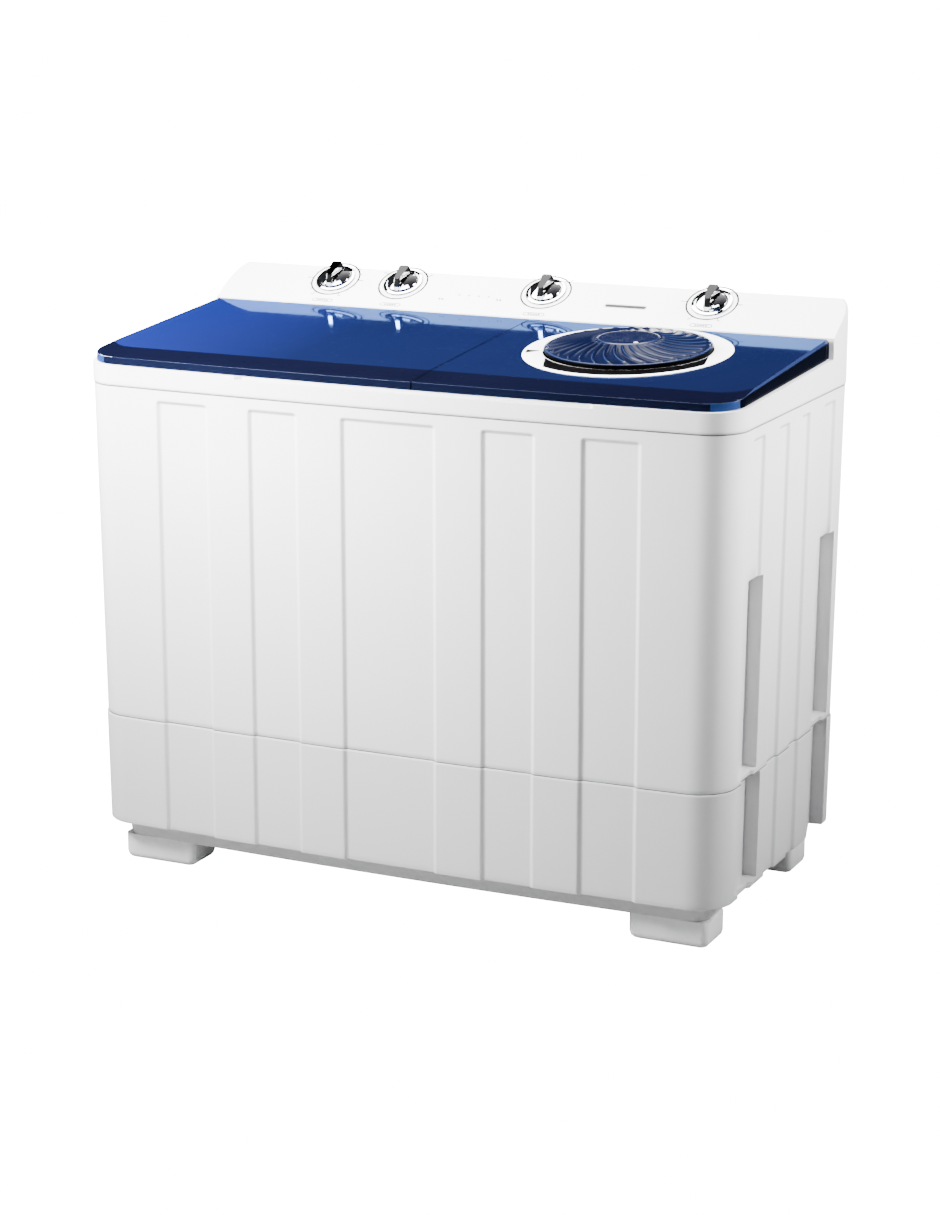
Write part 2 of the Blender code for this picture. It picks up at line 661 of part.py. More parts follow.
def make_lid(name):
    low, high = LID_SPANS[name]
    lid = lid_block(name, low, high, 0.0, "blue", PARTS)
    cut(lid, lid_block(name + "_inside", low, high, LID_WALL, None, CUTTERS))
    heel = HINGE_Z - HINGE_DROP * 2
    cut(lid, box(name + "_heel", (-WIDTH, HINGE_Y, FRAME_SEAM), (WIDTH, DEPTH, heel)))
    roof = HINGE_Z + HINGE_DROP - LID_WALL - 0.0005
    for start, stop in bracket_spans(name):
        low_corner = (start - BRACKET_CLEAR, HINGE_Y + 0.004, FRAME_SEAM)
        cut(lid, box(f"{name}_notch_{start:.2f}", low_corner, (stop + BRACKET_CLEAR, DEPTH, roof)))
    inner_low, inner_high = lid_walls(name)
    join(lid, hinge_pin(name + "_pin_low", inner_low - 0.001, inner_low + PIN_REACH))
    join(lid, hinge_pin(name + "_pin_high", inner_high - PIN_REACH, inner_high + 0.001))
    set_origin(lid, (0, HINGE_Y, HINGE_Z))
    return lid


def make_hinge_brackets():
    number = 1
    bottom = rim_z(HINGE_Y + BRACKET_Y[1]) + GAP
    top = HINGE_Z + HINGE_PIN_RADIUS + 0.0018
    turn = Matrix.Translation((0, HINGE_Y, HINGE_Z)) @ Matrix.Rotation(math.pi / 2, 4, "Y")
    for name in LID_SPANS:
        for start, stop in bracket_spans(name):
            bracket = box(f"lid_hinge_bracket_{number}", (start, HINGE_Y + BRACKET_Y[0], bottom),
                          (stop, HINGE_Y + BRACKET_Y[1], top), "white")
            bore = cylinder(f"hinge_bore_{number}", HINGE_PIN_RADIUS + 0.0004, start - 0.01,
                            stop + 0.01, segments=12)
            bore.matrix_world = turn
            cut(bracket, bore)
            number += 1


def dial_matrix():
    """Placement with local Z along the lids' normal, at the air vent's middle on the lid's top."""
    tilt = math.atan(LID_SLOPE)
    place = Matrix.Translation((SPIN_AXIS[0], SPIN_AXIS[1], lid_z(SPIN_AXIS[1])))
    return place @ Matrix.Rotation(tilt, 4, "X")


def vent_cutter(name, index, low, high):
    """One sector-shaped slot about the dial's axis."""
    middle = 360 * index / VENT_COUNT
    half = 360 / VENT_COUNT * 0.22
    outer = arc((0, 0), VENT_RADII[1], middle - half, middle + half, 3)
    inner = arc((0, 0), VENT_RADII[0], middle + half, middle - half, 2)
    return prism(f"{name}_vent_{index}", outer + inner, low, high, "Z")


def make_air_dry(spin_lid):
    place = dial_matrix()
    hole = cylinder("dial_boss_hole", DIAL_BOSS_RADIUS + 0.0006, -0.01, 0.01, segments=20)
    hole.matrix_world = place
    cut(spin_lid, hole)
    for i in range(VENT_COUNT):
        slot = vent_cutter("lid", i, -0.01, 0.01)
        slot.matrix_world = place
        cut(spin_lid, slot)
    inner = DIAL_RADIUS + 0.0012
    section = [(inner, RING_HEIGHT), (RING_RADIUS - 0.002, RING_HEIGHT), (RING_RADIUS, GAP),
               (inner, GAP)]
    ring = turned("air_dry_ring", section, "white", closed=True, steps=48)
    ring.matrix_world = place
    low = 2 * GAP
    dome = [(0.0, DIAL_HEIGHT), (HUB_RADIUS, DIAL_HEIGHT), (HUB_RADIUS + 0.012, DIAL_HEIGHT * 0.62),
            (HUB_RADIUS + 0.034, DIAL_HEIGHT * 0.40), (DIAL_RADIUS, 0.0045), (DIAL_RADIUS, low)]
    under = [(DIAL_RADIUS - 0.0025, low), (HUB_RADIUS + 0.034, DIAL_HEIGHT * 0.40 - 0.0028),
             (HUB_RADIUS + 0.010, DIAL_HEIGHT * 0.62 - 0.0030), (HUB_RADIUS - 0.004, DIAL_HEIGHT - 0.003),
             (DIAL_BOSS_RADIUS, DIAL_HEIGHT - 0.003), (DIAL_BOSS_RADIUS, -0.006), (0.0, -0.006)]
    dial = turned("air_dry_dial", dome + under, "blue", steps=40)
    dial.matrix_world = place
    for i in range(VENT_COUNT):
        slot = vent_cutter("dial", i, -0.01, 0.03)
        slot.matrix_world = place
        cut(dial, slot)
    section = [(0.0, -0.0063), (0.0140, -0.0063), (0.0140, -0.0090), (0.0, -0.0090)]
    clip = turned("air_dry_retainer", section, "white", steps=20)
    clip.matrix_world = place


# ---- Tubs -----------------------------------------------------------------------------------------
def tub_ring(inset, height, shrink=0.0):
    """One ring of the wash tub; height is a number or a function of y."""
    low = (WASH_TUB_X[0] + inset + shrink, WASH_TUB_Y[0] + inset + shrink)
    high = (WASH_TUB_X[1] - inset - shrink, WASH_TUB_Y[1] - inset - shrink)
    outline = rounded_rectangle(low, high, TUB_ROUND - inset, 5)
    return [(x, y, height(y) if callable(height) else height) for x, y in outline]


def pulsator_axis():
    return ((WASH_TUB_X[0] + WASH_TUB_X[1]) / 2, (WASH_TUB_Y[0] + WASH_TUB_Y[1]) / 2)


def make_wash_tub():
    axis = pulsator_axis()
    start = tub_ring(0, 0)

    def hole(z):
        angles = [math.atan2(y - axis[1], x - axis[0]) for x, y, _ in start]
        return [(axis[0] + TUB_DRIVE_HOLE * math.cos(a), axis[1] + TUB_DRIVE_HOLE * math.sin(a), z)
                for a in angles]

    def lip_top(y):
        return rim_z(y) - WALL - GAP

    def lip_low(y):
        return lip_top(y) - WALL

    wall = TUB_LIP
    floor = WASH_TUB_FLOOR
    shrink = TUB_INSET_BOTTOM
    fold = TUB_FLOOR_ROUND
    thick = wall + WALL
    rings = [hole(floor), tub_ring(wall, floor, shrink + fold), tub_ring(wall, floor + fold, shrink),
             tub_ring(wall, lip_low), tub_ring(0, lip_low), tub_ring(0, lip_top),
             tub_ring(thick, lip_top), tub_ring(thick, floor + fold + WALL * 0.4, shrink),
             tub_ring(thick, floor + WALL, shrink + fold - WALL * 0.4), hole(floor + WALL)]
    return loft("wash_tub", rings, "tub", hollow=True)


def make_pulsator():
    axis = pulsator_axis()
    low = WASH_TUB_FLOOR + WALL + 0.001
    mid = low + PULSATOR_HEIGHT * 0.35
    top = low + PULSATOR_HEIGHT
    radius = PULSATOR_RADIUS
    profile = [(0.0, top + 0.012), (0.022, top + 0.009), (0.042, top - 0.004), (radius * 0.62, mid + 0.001),
               (radius * 0.92, mid), (radius, mid - 0.003), (radius, low), (0.0, low)]
    pulsator = turned("pulsator", profile, "blue", steps=32)
    pulsator.location = (*axis, 0)
    for i in range(3):
        outline = [(0.020, -0.006), (radius * 0.90, -0.003), (radius * 0.90, 0.003), (0.020, 0.006)]
        vane = prism(f"pulsator_vane_{i}", outline, low + 0.002, top + 0.003, "Z")
        vane.matrix_world = Matrix.Translation((*axis, 0)) @ Matrix.Rotation(math.radians(120 * i), 4, "Z")
        join(pulsator, vane)
    shaft = cylinder("pulsator_shaft", SHAFT_RADIUS, BELT_Z - 0.011, low - GAP, axis, "steel", segments=16)
    pulley = pulley_wheel("pulsator_pulley", BIG_PULLEY_RADIUS, SHAFT_RADIUS + GAP, "grey")
    pulley.location = (*axis, BELT_Z)
    return pulsator, shaft, pulley


def pulley_wheel(name, radius, bore, finish):
    half = BELT_SECTION[1] / 2 + 0.003
    groove = radius
    flange = radius + 0.004
    web = half * 0.45
    rim = radius - 0.010
    hub = bore + 0.007
    profile = [(bore, half), (hub, half), (hub, web), (rim, web), (rim, half), (flange, half),
               (flange, half - 0.0020), (groove, half - 0.0020), (groove, 0.0020 - half),
               (flange, 0.0020 - half),
               (flange, -half), (rim, -half), (rim, -web), (hub, -web), (hub, -half), (bore, -half)]
    if rim <= hub:
        profile = [(bore, half), (flange, half), (flange, half - 0.0020), (groove, half - 0.0020),
                   (groove, 0.0020 - half), (flange, 0.0020 - half), (flange, -half),
                   (bore, -half)]
    return turned(name, profile, finish, closed=True, steps=32 if radius > 0.05 else 20)


def make_gearbox():
    axis = pulsator_axis()
    low = BELT_Z + 0.016
    top = WASH_TUB_FLOOR - GAP
    bore = SHAFT_RADIUS + GAP
    profile = [(bore, top), (0.046, top), (0.046, top - 0.006), (0.032, top - 0.010), (0.032, low),
               (bore, low)]
    housing = turned("pulsator_bearing_housing", profile, "grey", closed=True, steps=24)
    housing.location = (*axis, 0)
    return housing


def make_wash_motor():
    x, y = WASH_MOTOR_XY
    radius = WASH_MOTOR_RADIUS
    low = PAN_FLOOR + 0.020
    top = BELT_Z - 0.030
    profile = [(0.0, top), (0.016, top), (0.016, top - 0.006), (radius - 0.008, top - 0.006),
               (radius, top - 0.016), (radius, low + 0.012), (radius - 0.010, low), (0.0, low)]
    motor = turned("wash_motor", profile, "steel", steps=24)
    motor.location = (x, y, 0)
    bottom = PAN_FLOOR + GAP
    plate = low - GAP
    half = radius + 0.006
    leg = 0.004
    under = plate - leg
    outline = [(-half, bottom), (-half + leg, bottom), (-half + leg, under), (half - leg, under),
               (half - leg, bottom), (half, bottom), (half, plate), (-half, plate)]
    stand = prism("wash_motor_bracket", outline, y - radius * 0.8, y + radius * 0.8, "Y", "grey")
    stand.location = (x, 0, 0)
    shaft = 0.006
    pulley = pulley_wheel("wash_motor_pulley", SMALL_PULLEY_RADIUS, shaft + GAP, "grey")
    pulley.location = (x, y, BELT_Z)
    rotor = cylinder("wash_motor_shaft", shaft, top + GAP, BELT_Z + 0.012, (x, y), "steel", segments=16)
    return motor, pulley, rotor


def belt_outline(offset):
    """Open-belt path round both pulleys: two arcs joined by their outer tangents."""
    big = Vector(pulsator_axis())
    small = Vector(WASH_MOTOR_XY)
    apart = small - big
    heading = math.atan2(apart.y, apart.x)
    spread = math.acos((BIG_PULLEY_RADIUS - SMALL_PULLEY_RADIUS) / apart.length)
    start = math.degrees(heading + spread)
    stop = math.degrees(heading - spread) + 360
    around_big = arc(big, BIG_PULLEY_RADIUS + offset, start, stop, 24)
    around_small = arc(small, SMALL_PULLEY_RADIUS + offset, stop - 360, start, 12)
    return around_big + around_small


def make_belt():
    thick, tall = BELT_SECTION
    low, high = BELT_Z - tall / 2, BELT_Z + tall / 2
    inner, outer = belt_outline(0.0006), belt_outline(0.0006 + thick)
    rings = [ring_at(low, outer), ring_at(high, outer), ring_at(high, inner), ring_at(low, inner)]
    return loft("drive_belt", rings, "rubber", hollow=True)


def make_spin_tub():
    radius = SPIN_TUB_RADIUS
    low = SPIN_TUB_FLOOR
    top = rim_z(SPIN_AXIS[1] - radius) - WALL - GAP
    bore = SHAFT_RADIUS + 0.010
    lip = radius + 0.008
    profile = [(radius, top), (lip, top), (lip, top - WALL), (radius + 0.0001, top - WALL),
               (radius - 0.004, low + 0.015), (radius - 0.012, low), (bore, low), (bore, low + WALL),
               (radius - 0.014, low + WALL), (radius - WALL - 0.004, low + 0.016), (radius - WALL, top)]
    tub = turned("spin_outer_tub", profile, "tub", closed=True, steps=40)
    tub.location = (*SPIN_AXIS, 0)
    seal_low = low + WALL + GAP
    inner = SHAFT_RADIUS + 0.0006
    section = [(inner, seal_low + 0.014), (0.012, seal_low + 0.014), (0.026, seal_low + 0.003),
               (0.026, seal_low), (inner, seal_low)]
    seal = turned("spin_shaft_seal", section, "rubber", closed=True, steps=24)
    seal.location = (*SPIN_AXIS, 0)


def basket_floor():
    return SPIN_TUB_FLOOR + WALL + 0.030


def make_basket():
    low = basket_floor()
    top = low + BASKET_HEIGHT
    radius = BASKET_RADIUS
    wall = BASKET_WALL
    bore = SHAFT_RADIUS + GAP
    profile = [(radius - 0.016, top), (radius - 0.002, top + 0.003), (radius + 0.002, top - 0.004),
               (radius, top - 0.020), (radius, low + 0.010), (radius - 0.010, low), (0.030, low),
               (0.030, low - 0.008), (bore, low - 0.008), (bore, low + 0.014), (0.026, low + 0.014),
               (0.034, low + wall), (radius - 0.010 - wall / 2, low + wall), (radius - wall, low + 0.0105),
               (radius - wall, top - 0.022), (radius - 0.016, top - 0.016)]
    basket = turned("spin_basket", profile, "steel", closed=True, steps=40)
    basket.location = (*SPIN_AXIS, 0)
    shaft = cylinder("spin_shaft", SHAFT_RADIUS, spin_motor_top() + GAP, low + 0.013, SPIN_AXIS,
                     "steel", segments=16)
    cap_low = low + 0.014 + GAP
    section = [(0.0, cap_low + 0.012), (0.010, cap_low + 0.010), (0.015, cap_low), (0.0, cap_low)]
    cap = turned("basket_nut", section, "grey", steps=16)
    cap.location = (*SPIN_AXIS, 0)
    return basket, shaft


def spin_motor_low():
    return PAN_FLOOR + GAP + MOUNT_HEIGHT + GAP


def spin_motor_top():
    return spin_motor_low() + SPIN_MOTOR_HEIGHT


def make_spin_drive():
    low = spin_motor_low()
    top = spin_motor_top()
    radius = SPIN_MOTOR_RADIUS
    flange = radius + 0.026
    profile = [(0.0, top), (0.020, top), (0.020, top - 0.006), (radius - 0.008, top - 0.006),
               (radius, top - 0.014), (radius, low + 0.006), (flange, low + 0.005), (flange, low),
               (0.0, low)]
    motor = turned("spin_motor", profile, "steel", steps=24)
    motor.location = (*SPIN_AXIS, 0)
    for i in range(3):
        angle = math.radians(90 + 120 * i)
        reach = flange - 0.013
        xy = (SPIN_AXIS[0] + reach * math.cos(angle), SPIN_AXIS[1] + reach * math.sin(angle))
        cylinder(f"spin_motor_mount_{i + 1}", 0.012, PAN_FLOOR + GAP, low - GAP, xy, "rubber",
                 segments=16, top_radius=0.010)
    drum_low = top + 0.006
    bore = SHAFT_RADIUS + GAP
    section = [(bore, drum_low + 0.024), (0.018, drum_low + 0.024), (0.018, drum_low + 0.016),
               (BRAKE_RADIUS, drum_low + 0.014), (BRAKE_RADIUS, drum_low), (bore, drum_low)]
    drum = turned("brake_drum", section, "steel", closed=True, steps=28)
    drum.location = (*SPIN_AXIS, 0)
    make_brake(drum_low)


def make_brake(drum_low):
    """A lever beside the drum, turning about an upright pin on the motor's top."""
    x = SPIN_AXIS[0] + BRAKE_RADIUS + BRAKE_CLEAR
    pivot = (x + LEVER_WIDTH / 2, SPIN_AXIS[1] - BRAKE_ARM)
    tail, tip = pivot[1] - 0.008, SPIN_AXIS[1] + 0.012
    outline = [(x, tail), (x + LEVER_WIDTH, tail), (x + LEVER_WIDTH, tip), (x, tip)]
    lever = prism("brake_lever", outline, drum_low + 0.001, drum_low + 0.011, "Z", "grey")
    cut(lever, cylinder("brake_bore", 0.0034, drum_low - 0.02, drum_low + 0.03, pivot, segments=14))
    set_origin(lever, (*pivot, drum_low))
    post_low = spin_motor_low() + 0.006 + GAP
    pin = cylinder("brake_pivot_post", 0.0030, post_low, drum_low + 0.014, pivot, "steel", segments=14)
    return lever, pin


# ---- Water, drain and electrics -------------------------------------------------------------------
def make_inlet():
    """A hose tail on the rear wall; it stands out as far as the front bulges."""
    bore = INLET_RADIUS - 0.002
    reach = FRONT_BOW
    collar = 0.0155
    neck = INLET_RADIUS - 0.0008
    tail = INLET_RADIUS - GAP
    profile = [(bore, reach), (INLET_RADIUS + 0.001, reach), (neck, reach - 0.004), (neck, 0.0042),
               (collar, 0.0042), (collar, GAP), (tail, GAP), (tail, -0.030), (bore, -0.030)]
    inlet = turned("water_inlet_nozzle", profile, "white", closed=True, steps=20)
    turn = Matrix.Rotation(-math.pi / 2, 4, "X")
    inlet.matrix_world = Matrix.Translation((INLET_X, DEPTH / 2, FRAME_SEAM + INLET_RISE)) @ turn
    return inlet


def make_gland():
    """The mains lead's grommet, low on the rear of the cabinet."""
    x, z = GLAND_XZ
    y = DEPTH / 2 - FRAME_OVERHANG - TAPER_Y * (FRAME_SEAM - z)
    profile = [(0.0045, 0.0100), (0.0080, 0.0100), (0.0095, GAP), (0.0045, GAP)]
    gland = turned("cord_gland", profile, "black", closed=True, steps=16)
    turn = Matrix.Rotation(-math.pi / 2 - math.atan(TAPER_Y), 4, "X")
    gland.matrix_world = Matrix.Translation((x, y + 0.0002, z)) @ turn
    return gland


def drain_rear():
    """The base's rear wall at the drain outlet's height."""
    return DEPTH / 2 - TAPER_Y * (FRAME_SEAM - DRAIN_OUTLET_Z)


def drain_axis():
    """The valve stands over the pipe's bend, which ends just inside the rear wall."""
    return KNOB_X["drain"], drain_rear() - WALL - 0.004 - DRAIN_BEND


def make_drain():
    x, y = drain_axis()
    wall, radius = 0.002, VALVE_RADIUS
    low = VALVE_TOP - 0.050
    bore = 0.008
    inner = radius - wall
    profile = [(inner, VALVE_TOP), (radius, VALVE_TOP), (radius, low), (bore, low), (bore, low + wall),
               (inner, low + wall)]
    body = turned("drain_valve_body", profile, "white", closed=True, steps=20)
    body.location = (x, y, 0)
    seat = low + wall + GAP
    stem = 0.0030
    section = [(0.0, VALVE_TOP + 0.020), (stem, VALVE_TOP + 0.020), (stem, seat + 0.006),
               (0.014, seat + 0.006), (0.014, seat), (0.0, seat)]
    plunger = turned("drain_valve_plunger", section, "rubber", steps=16)
    plunger.location = (x, y, 0)
    tube = bpy.data.curves.new("drain_pipe", "CURVE")
    tube.dimensions = "3D"
    spline = tube.splines.new("POLY")
    turns = [math.radians(9 * i) for i in range(11)]
    elbow_z = DRAIN_OUTLET_Z + DRAIN_BEND
    route = [(x, y, low - GAP)]
    route += [(x, y + DRAIN_BEND * (1 - math.cos(a)), elbow_z - DRAIN_BEND * math.sin(a))
              for a in turns]
    spline.points.add(len(route) - 1)
    for point, place in zip(spline.points, route):
        point.co = (*place, 1.0)
    tube.bevel_depth = 0.010
    tube.bevel_resolution = 2
    tube.use_fill_caps = True
    tube.materials.append(make_material("drain_pipe", *FINISHES["rubber"]))
    pipe = bpy.data.objects.new("drain_pipe", tube)
    PARTS.objects.link(pipe)
    profile = [(0.0080, 0.0120), (0.0110, 0.0120), (0.0125, 0.0095), (0.0125, 0.0030),
               (0.0180, 0.0030), (0.0180, GAP), (0.0080, GAP)]
    outlet = turned("drain_outlet", profile, "white", closed=True, steps=20)
    turn = Matrix.Rotation(-math.pi / 2 - math.atan(TAPER_Y), 4, "X")
    outlet.matrix_world = Matrix.Translation((x, drain_rear() + 0.0002, DRAIN_OUTLET_Z)) @ turn


def make_electrics():
    radius, height = CAPACITOR_SIZE
    cylinder("motor_capacitor", radius, PAN_FLOOR + GAP, PAN_FLOOR + height, CAPACITOR_XY, "grey",
             segments=20)
    x, y = LID_SWITCH_LOW
    length, width, tall = LID_SWITCH_SIZE
    top = rim_z(y) - WALL - GAP
    box("spin_lid_switch", (x, y, top - tall), (x + length, y + width, top), "black")
    for name, x in KNOB_X.items():
        make_timer(name, x)
        make_knob(name, x)


def make_timer(name, x):
    half_x, half_y = TIMER_SIZE[0] / 2, TIMER_SIZE[1] / 2
    top = -WALL - GAP
    unit = box(TIMER_NAMES[name], (-half_x, -half_y, top - TIMER_SIZE[2]), (half_x, half_y, top), "grey")
    socket = cylinder(name + "_socket", KNOB_SHAFT_RADIUS + 0.001, top - 0.012, top + 0.01, segments=16)
    cut(unit, socket)
    unit.matrix_world = panel_matrix(x)
    socket.matrix_world = panel_matrix(x)
    return unit


def make_knob(name, x):
    """A round plate with a raised faceted grip, and its shaft through the panel."""
    low = 0.0008
    top = low + KNOB_PLATE
    reach = -WALL - GAP - 0.010
    profile = [(0.0, top), (KNOB_RADIUS * 0.80, top), (KNOB_RADIUS, low + 0.0015), (KNOB_RADIUS, low),
               (KNOB_SHAFT_RADIUS, low), (KNOB_SHAFT_RADIUS, reach), (0.0, reach)]
    knob = turned(name + "_knob", profile, "chrome", steps=28)
    length, width, height = GRIP_SIZE
    u, v = length / 2, width / 2
    foot = [(-u, -v), (u, -v), (u, v), (-u, v)]
    crest = [(u * 0.78, v * 0.55) for u, v in foot]
    rings = [[(u, v, top - 0.001) for u, v in foot], [(u, v, top + height) for u, v in crest]]
    grip = loft(name + "_grip", rings, None, collection=CUTTERS)
    knob.matrix_world = panel_matrix(x)
    grip.matrix_world = panel_matrix(x)
    join(knob, grip)
    return knob


def make_lint_filter():
    """The filter frame on the wash tub's rear wall."""
    x = (WASH_TUB_X[0] + WASH_TUB_X[1]) / 2
    inner = WASH_TUB_Y[1] - TUB_LIP - WALL
    rear = inner - FILTER_SETBACK
    front = rear - FILTER_DEPTH
    half = FILTER_HALF_WIDTH
    frame = box("lint_filter", (x - half, front, FILTER_Z[0]), (x + half, rear, FILTER_Z[1]), "blue")
    inside = half - FILTER_WALL
    low = (x - inside, front + WALL, FILTER_Z[0] + FILTER_WALL)
    pocket = box("lint_pocket", low, (x + inside, rear - WALL, FILTER_Z[1] + 0.04))
    return cut(frame, pocket)


make_base()
make_feet()
make_cabinet()
make_rear_cover()
make_top_frame()
make_lid("wash_lid")
make_air_dry(make_lid("spin_lid"))
make_hinge_brackets()
make_wash_tub()
make_pulsator()
make_gearbox()
make_wash_motor()
make_belt()
make_spin_tub()
make_basket()
make_spin_drive()
make_inlet()
make_gland()
make_drain()
make_electrics()
make_lint_filter()

for obj in PARTS.objects:
    if obj.type == "MESH":
        obj.data.shade_smooth()
        obj.data.set_sharp_from_angle(angle=math.radians(35))
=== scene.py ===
"""Looks of the twin-tub washing machine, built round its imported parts. Metres, +Z up, front towards -Y."""

import math

import bmesh
import bpy
from mathutils import Matrix, Vector


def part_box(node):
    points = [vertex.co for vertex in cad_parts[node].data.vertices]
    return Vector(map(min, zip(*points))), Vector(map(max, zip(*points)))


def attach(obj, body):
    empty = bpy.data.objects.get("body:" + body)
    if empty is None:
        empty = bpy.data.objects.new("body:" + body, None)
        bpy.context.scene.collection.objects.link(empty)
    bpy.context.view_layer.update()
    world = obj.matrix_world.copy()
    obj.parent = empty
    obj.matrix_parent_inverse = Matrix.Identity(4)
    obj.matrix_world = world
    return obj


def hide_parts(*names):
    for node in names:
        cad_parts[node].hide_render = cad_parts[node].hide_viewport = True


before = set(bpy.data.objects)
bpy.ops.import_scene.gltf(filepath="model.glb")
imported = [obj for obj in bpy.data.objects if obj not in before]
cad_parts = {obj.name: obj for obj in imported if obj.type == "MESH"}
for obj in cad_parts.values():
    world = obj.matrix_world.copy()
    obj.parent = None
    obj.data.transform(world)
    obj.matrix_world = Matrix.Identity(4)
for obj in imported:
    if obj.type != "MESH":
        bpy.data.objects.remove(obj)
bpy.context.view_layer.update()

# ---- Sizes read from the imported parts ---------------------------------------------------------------
frame_low, frame_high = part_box("top_frame")
base_low, base_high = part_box("base_housing")
tub_low, tub_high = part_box("wash_tub")
basket_low, basket_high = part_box("spin_basket")
outer_low, outer_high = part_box("spin_outer_tub")
filter_low, filter_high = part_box("lint_filter")
cover_low, cover_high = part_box("rear_cover")

HALF_WIDTH = frame_high.x
HALF_DEPTH = frame_high.y
BOW = -frame_low.y - HALF_DEPTH
SEAM = frame_low.z
BASE_SEAM = base_high.z
PAN_LOW = base_low.z
SKIRT = PAN_LOW + 0.0254
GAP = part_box("cabinet_shell")[0].z - base_high.z
WALL = 0.003
TAPER_X = 0.013
TAPER_Y = 0.005
CORNER_FRONT = 0.053
CORNER_REAR = 0.0275
OVERHANG = 0.0015
FRONT_HALF = 0.43
SIDE_START = -0.1825
SIDE_END = 0.2035
WALL_STEP = 0.030
PAN_INSET = 0.0273
FOOT_ROUND = 0.011

RIB_DEPTH = 0.0042
RIB_RUN = 0.0068
RIB_ROUND = 0.007
RIB_TOP_DROP = 0.0145
FRONT_RIBS = ((-0.3675, -0.2815), (-0.2185, -0.1380), (-0.0730, 0.0730), (0.1380, 0.2185), (0.2815, 0.3675))
SIDE_RIBS = ((-0.1661, -0.1144), (-0.0627, -0.0165), (0.0297, 0.0682), (0.1243, 0.1782))
SCOOP_DEPTH = 0.020
SCOOP_FRONT = (-0.1815, -0.1056)
SCOOP_REAR = (0.1200, 0.1940)
SCOOP_STEP = 0.0022
SCOOP_TOP_DROP = 0.2084
BASE_SCOOP_SHIFT = 0.013
LEDGE = 0.010

RIM_HEIGHT = 0.029
RIM_SLOPE = 0.0385
LID_RISE = 0.014
LID_SLOPE = 0.078
LID_INSET = 0.0055
LID_BREAK_Y = -0.1854
LID_LIP = 0.0102
LID_GAP = 0.0008
LID_WALL = 0.0025
LID_REAR_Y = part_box("wash_lid")[1].y
LID_SPLIT_X = (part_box("wash_lid")[1].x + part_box("spin_lid")[0].x) / 2
HINGE_Y = LID_REAR_Y - 0.0085
HINGE_DROP = 0.009
PANEL_ANGLE = math.radians(30.5)
PANEL_FOOT_Y = LID_REAR_Y + 0.0035
PANEL_END_ROUND = 0.030
PANEL_REAR_ROUND = 0.008
RECESS_X = (-0.236, 0.300)
RECESS_DEPTH = 0.0065
RECESS_DROP = 0.0048
TUB_REVEAL = 0.005
SPIN_REVEAL = 0.015

KNOBS = ("wash_timer", "wash_mode", "drain", "spin_timer")
KNOB_RADIUS = 0.0305
KNOB_ALONG = 0.061
RING_OUTER = 0.146
DIAL_RADIUS = 0.1175
HUB_RADIUS = 0.043
DIAL_HEIGHT = 0.020
DIAL_EDGE_HEIGHT = 0.0078
HUB_ROUND = 0.003
VANES = 30
VANE_SWEEP = 0.42
VENT_INNER = 0.048
VENT_OUTER = 0.104
LABEL_DROP = -0.0520

TUB_CORNER = 0.060
FLUTE_DEPTH = 0.0022
DRIVE_HOLE = 0.024
BASKET_RADIUS = 0.125
BASKET_HOLE = 0.0027

SHADE_DRIFT = 0.12
BACKDROP = 22.0


def middle(node):
    low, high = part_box(node)
    return (low + high) / 2


SPIN_X, SPIN_Y = middle("spin_shaft").xy
WASH_X, WASH_Y = middle("pulsator_shaft").xy
KNOB_X = {name: middle(name + "_knob").x for name in KNOBS}


def rim_z(y):
    return SEAM + RIM_HEIGHT + RIM_SLOPE * (y + HALF_DEPTH)


def lid_z(y):
    return SEAM + RIM_HEIGHT + LID_RISE + LID_SLOPE * (y + HALF_DEPTH)


PANEL_FOOT_Z = lid_z(PANEL_FOOT_Y)
HINGE_Z = lid_z(HINGE_Y) - HINGE_DROP


def panel_point(along, height=0.0, x=0.0):
    y = PANEL_FOOT_Y + along * math.cos(PANEL_ANGLE) - height * math.sin(PANEL_ANGLE)
    z = PANEL_FOOT_Z + along * math.sin(PANEL_ANGLE) + height * math.cos(PANEL_ANGLE)
    return Vector((x, y, z))


def panel_matrix(x, along=KNOB_ALONG):
    return Matrix.Translation(panel_point(along, 0.0, x)) @ Matrix.Rotation(PANEL_ANGLE, 4, "X")


def dial_matrix():
    place = Matrix.Translation((SPIN_X, SPIN_Y, lid_z(SPIN_Y)))
    return place @ Matrix.Rotation(math.atan(LID_SLOPE), 4, "X")


def bow(x):
    return BOW * max(0.0, 1 - (x / HALF_WIDTH) ** 2)


def smooth(t):
    t = min(1.0, max(0.0, t))
    return t * t * (3 - 2 * t)


# ---- Materials --------------------------------------------------------------------------------------
def add_node(tree, kind, sockets=(), **settings):
    """A shader node; each socket is given a constant or another node's output."""
    node = tree.nodes.new("ShaderNode" + kind)
    for key, value in settings.items():
        setattr(node, key, value)
    for key, value in dict(sockets).items():
        if isinstance(value, bpy.types.NodeSocket):
            tree.links.new(value, node.inputs[key])
        else:
            node.inputs[key].default_value = value
    return node


def noise(tree, vector, scale, detail):
    return add_node(tree, "TexNoise", {"Vector": vector, "Scale": scale, "Detail": detail}).outputs["Fac"]


def remap(tree, value, low, high, start=0.35, stop=0.65):
    sockets = {"Value": value, "From Min": start, "From Max": stop, "To Min": low, "To Max": high}
    return add_node(tree, "MapRange", sockets).outputs["Result"]


def blend_colors(tree, factor, first, second):
    first, second = ((*color, 1.0) if isinstance(color, tuple) else color for color in (first, second))
    sockets = {"Factor": factor, "A": first, "B": second}
    return add_node(tree, "Mix", sockets, data_type="RGBA").outputs["Result"]


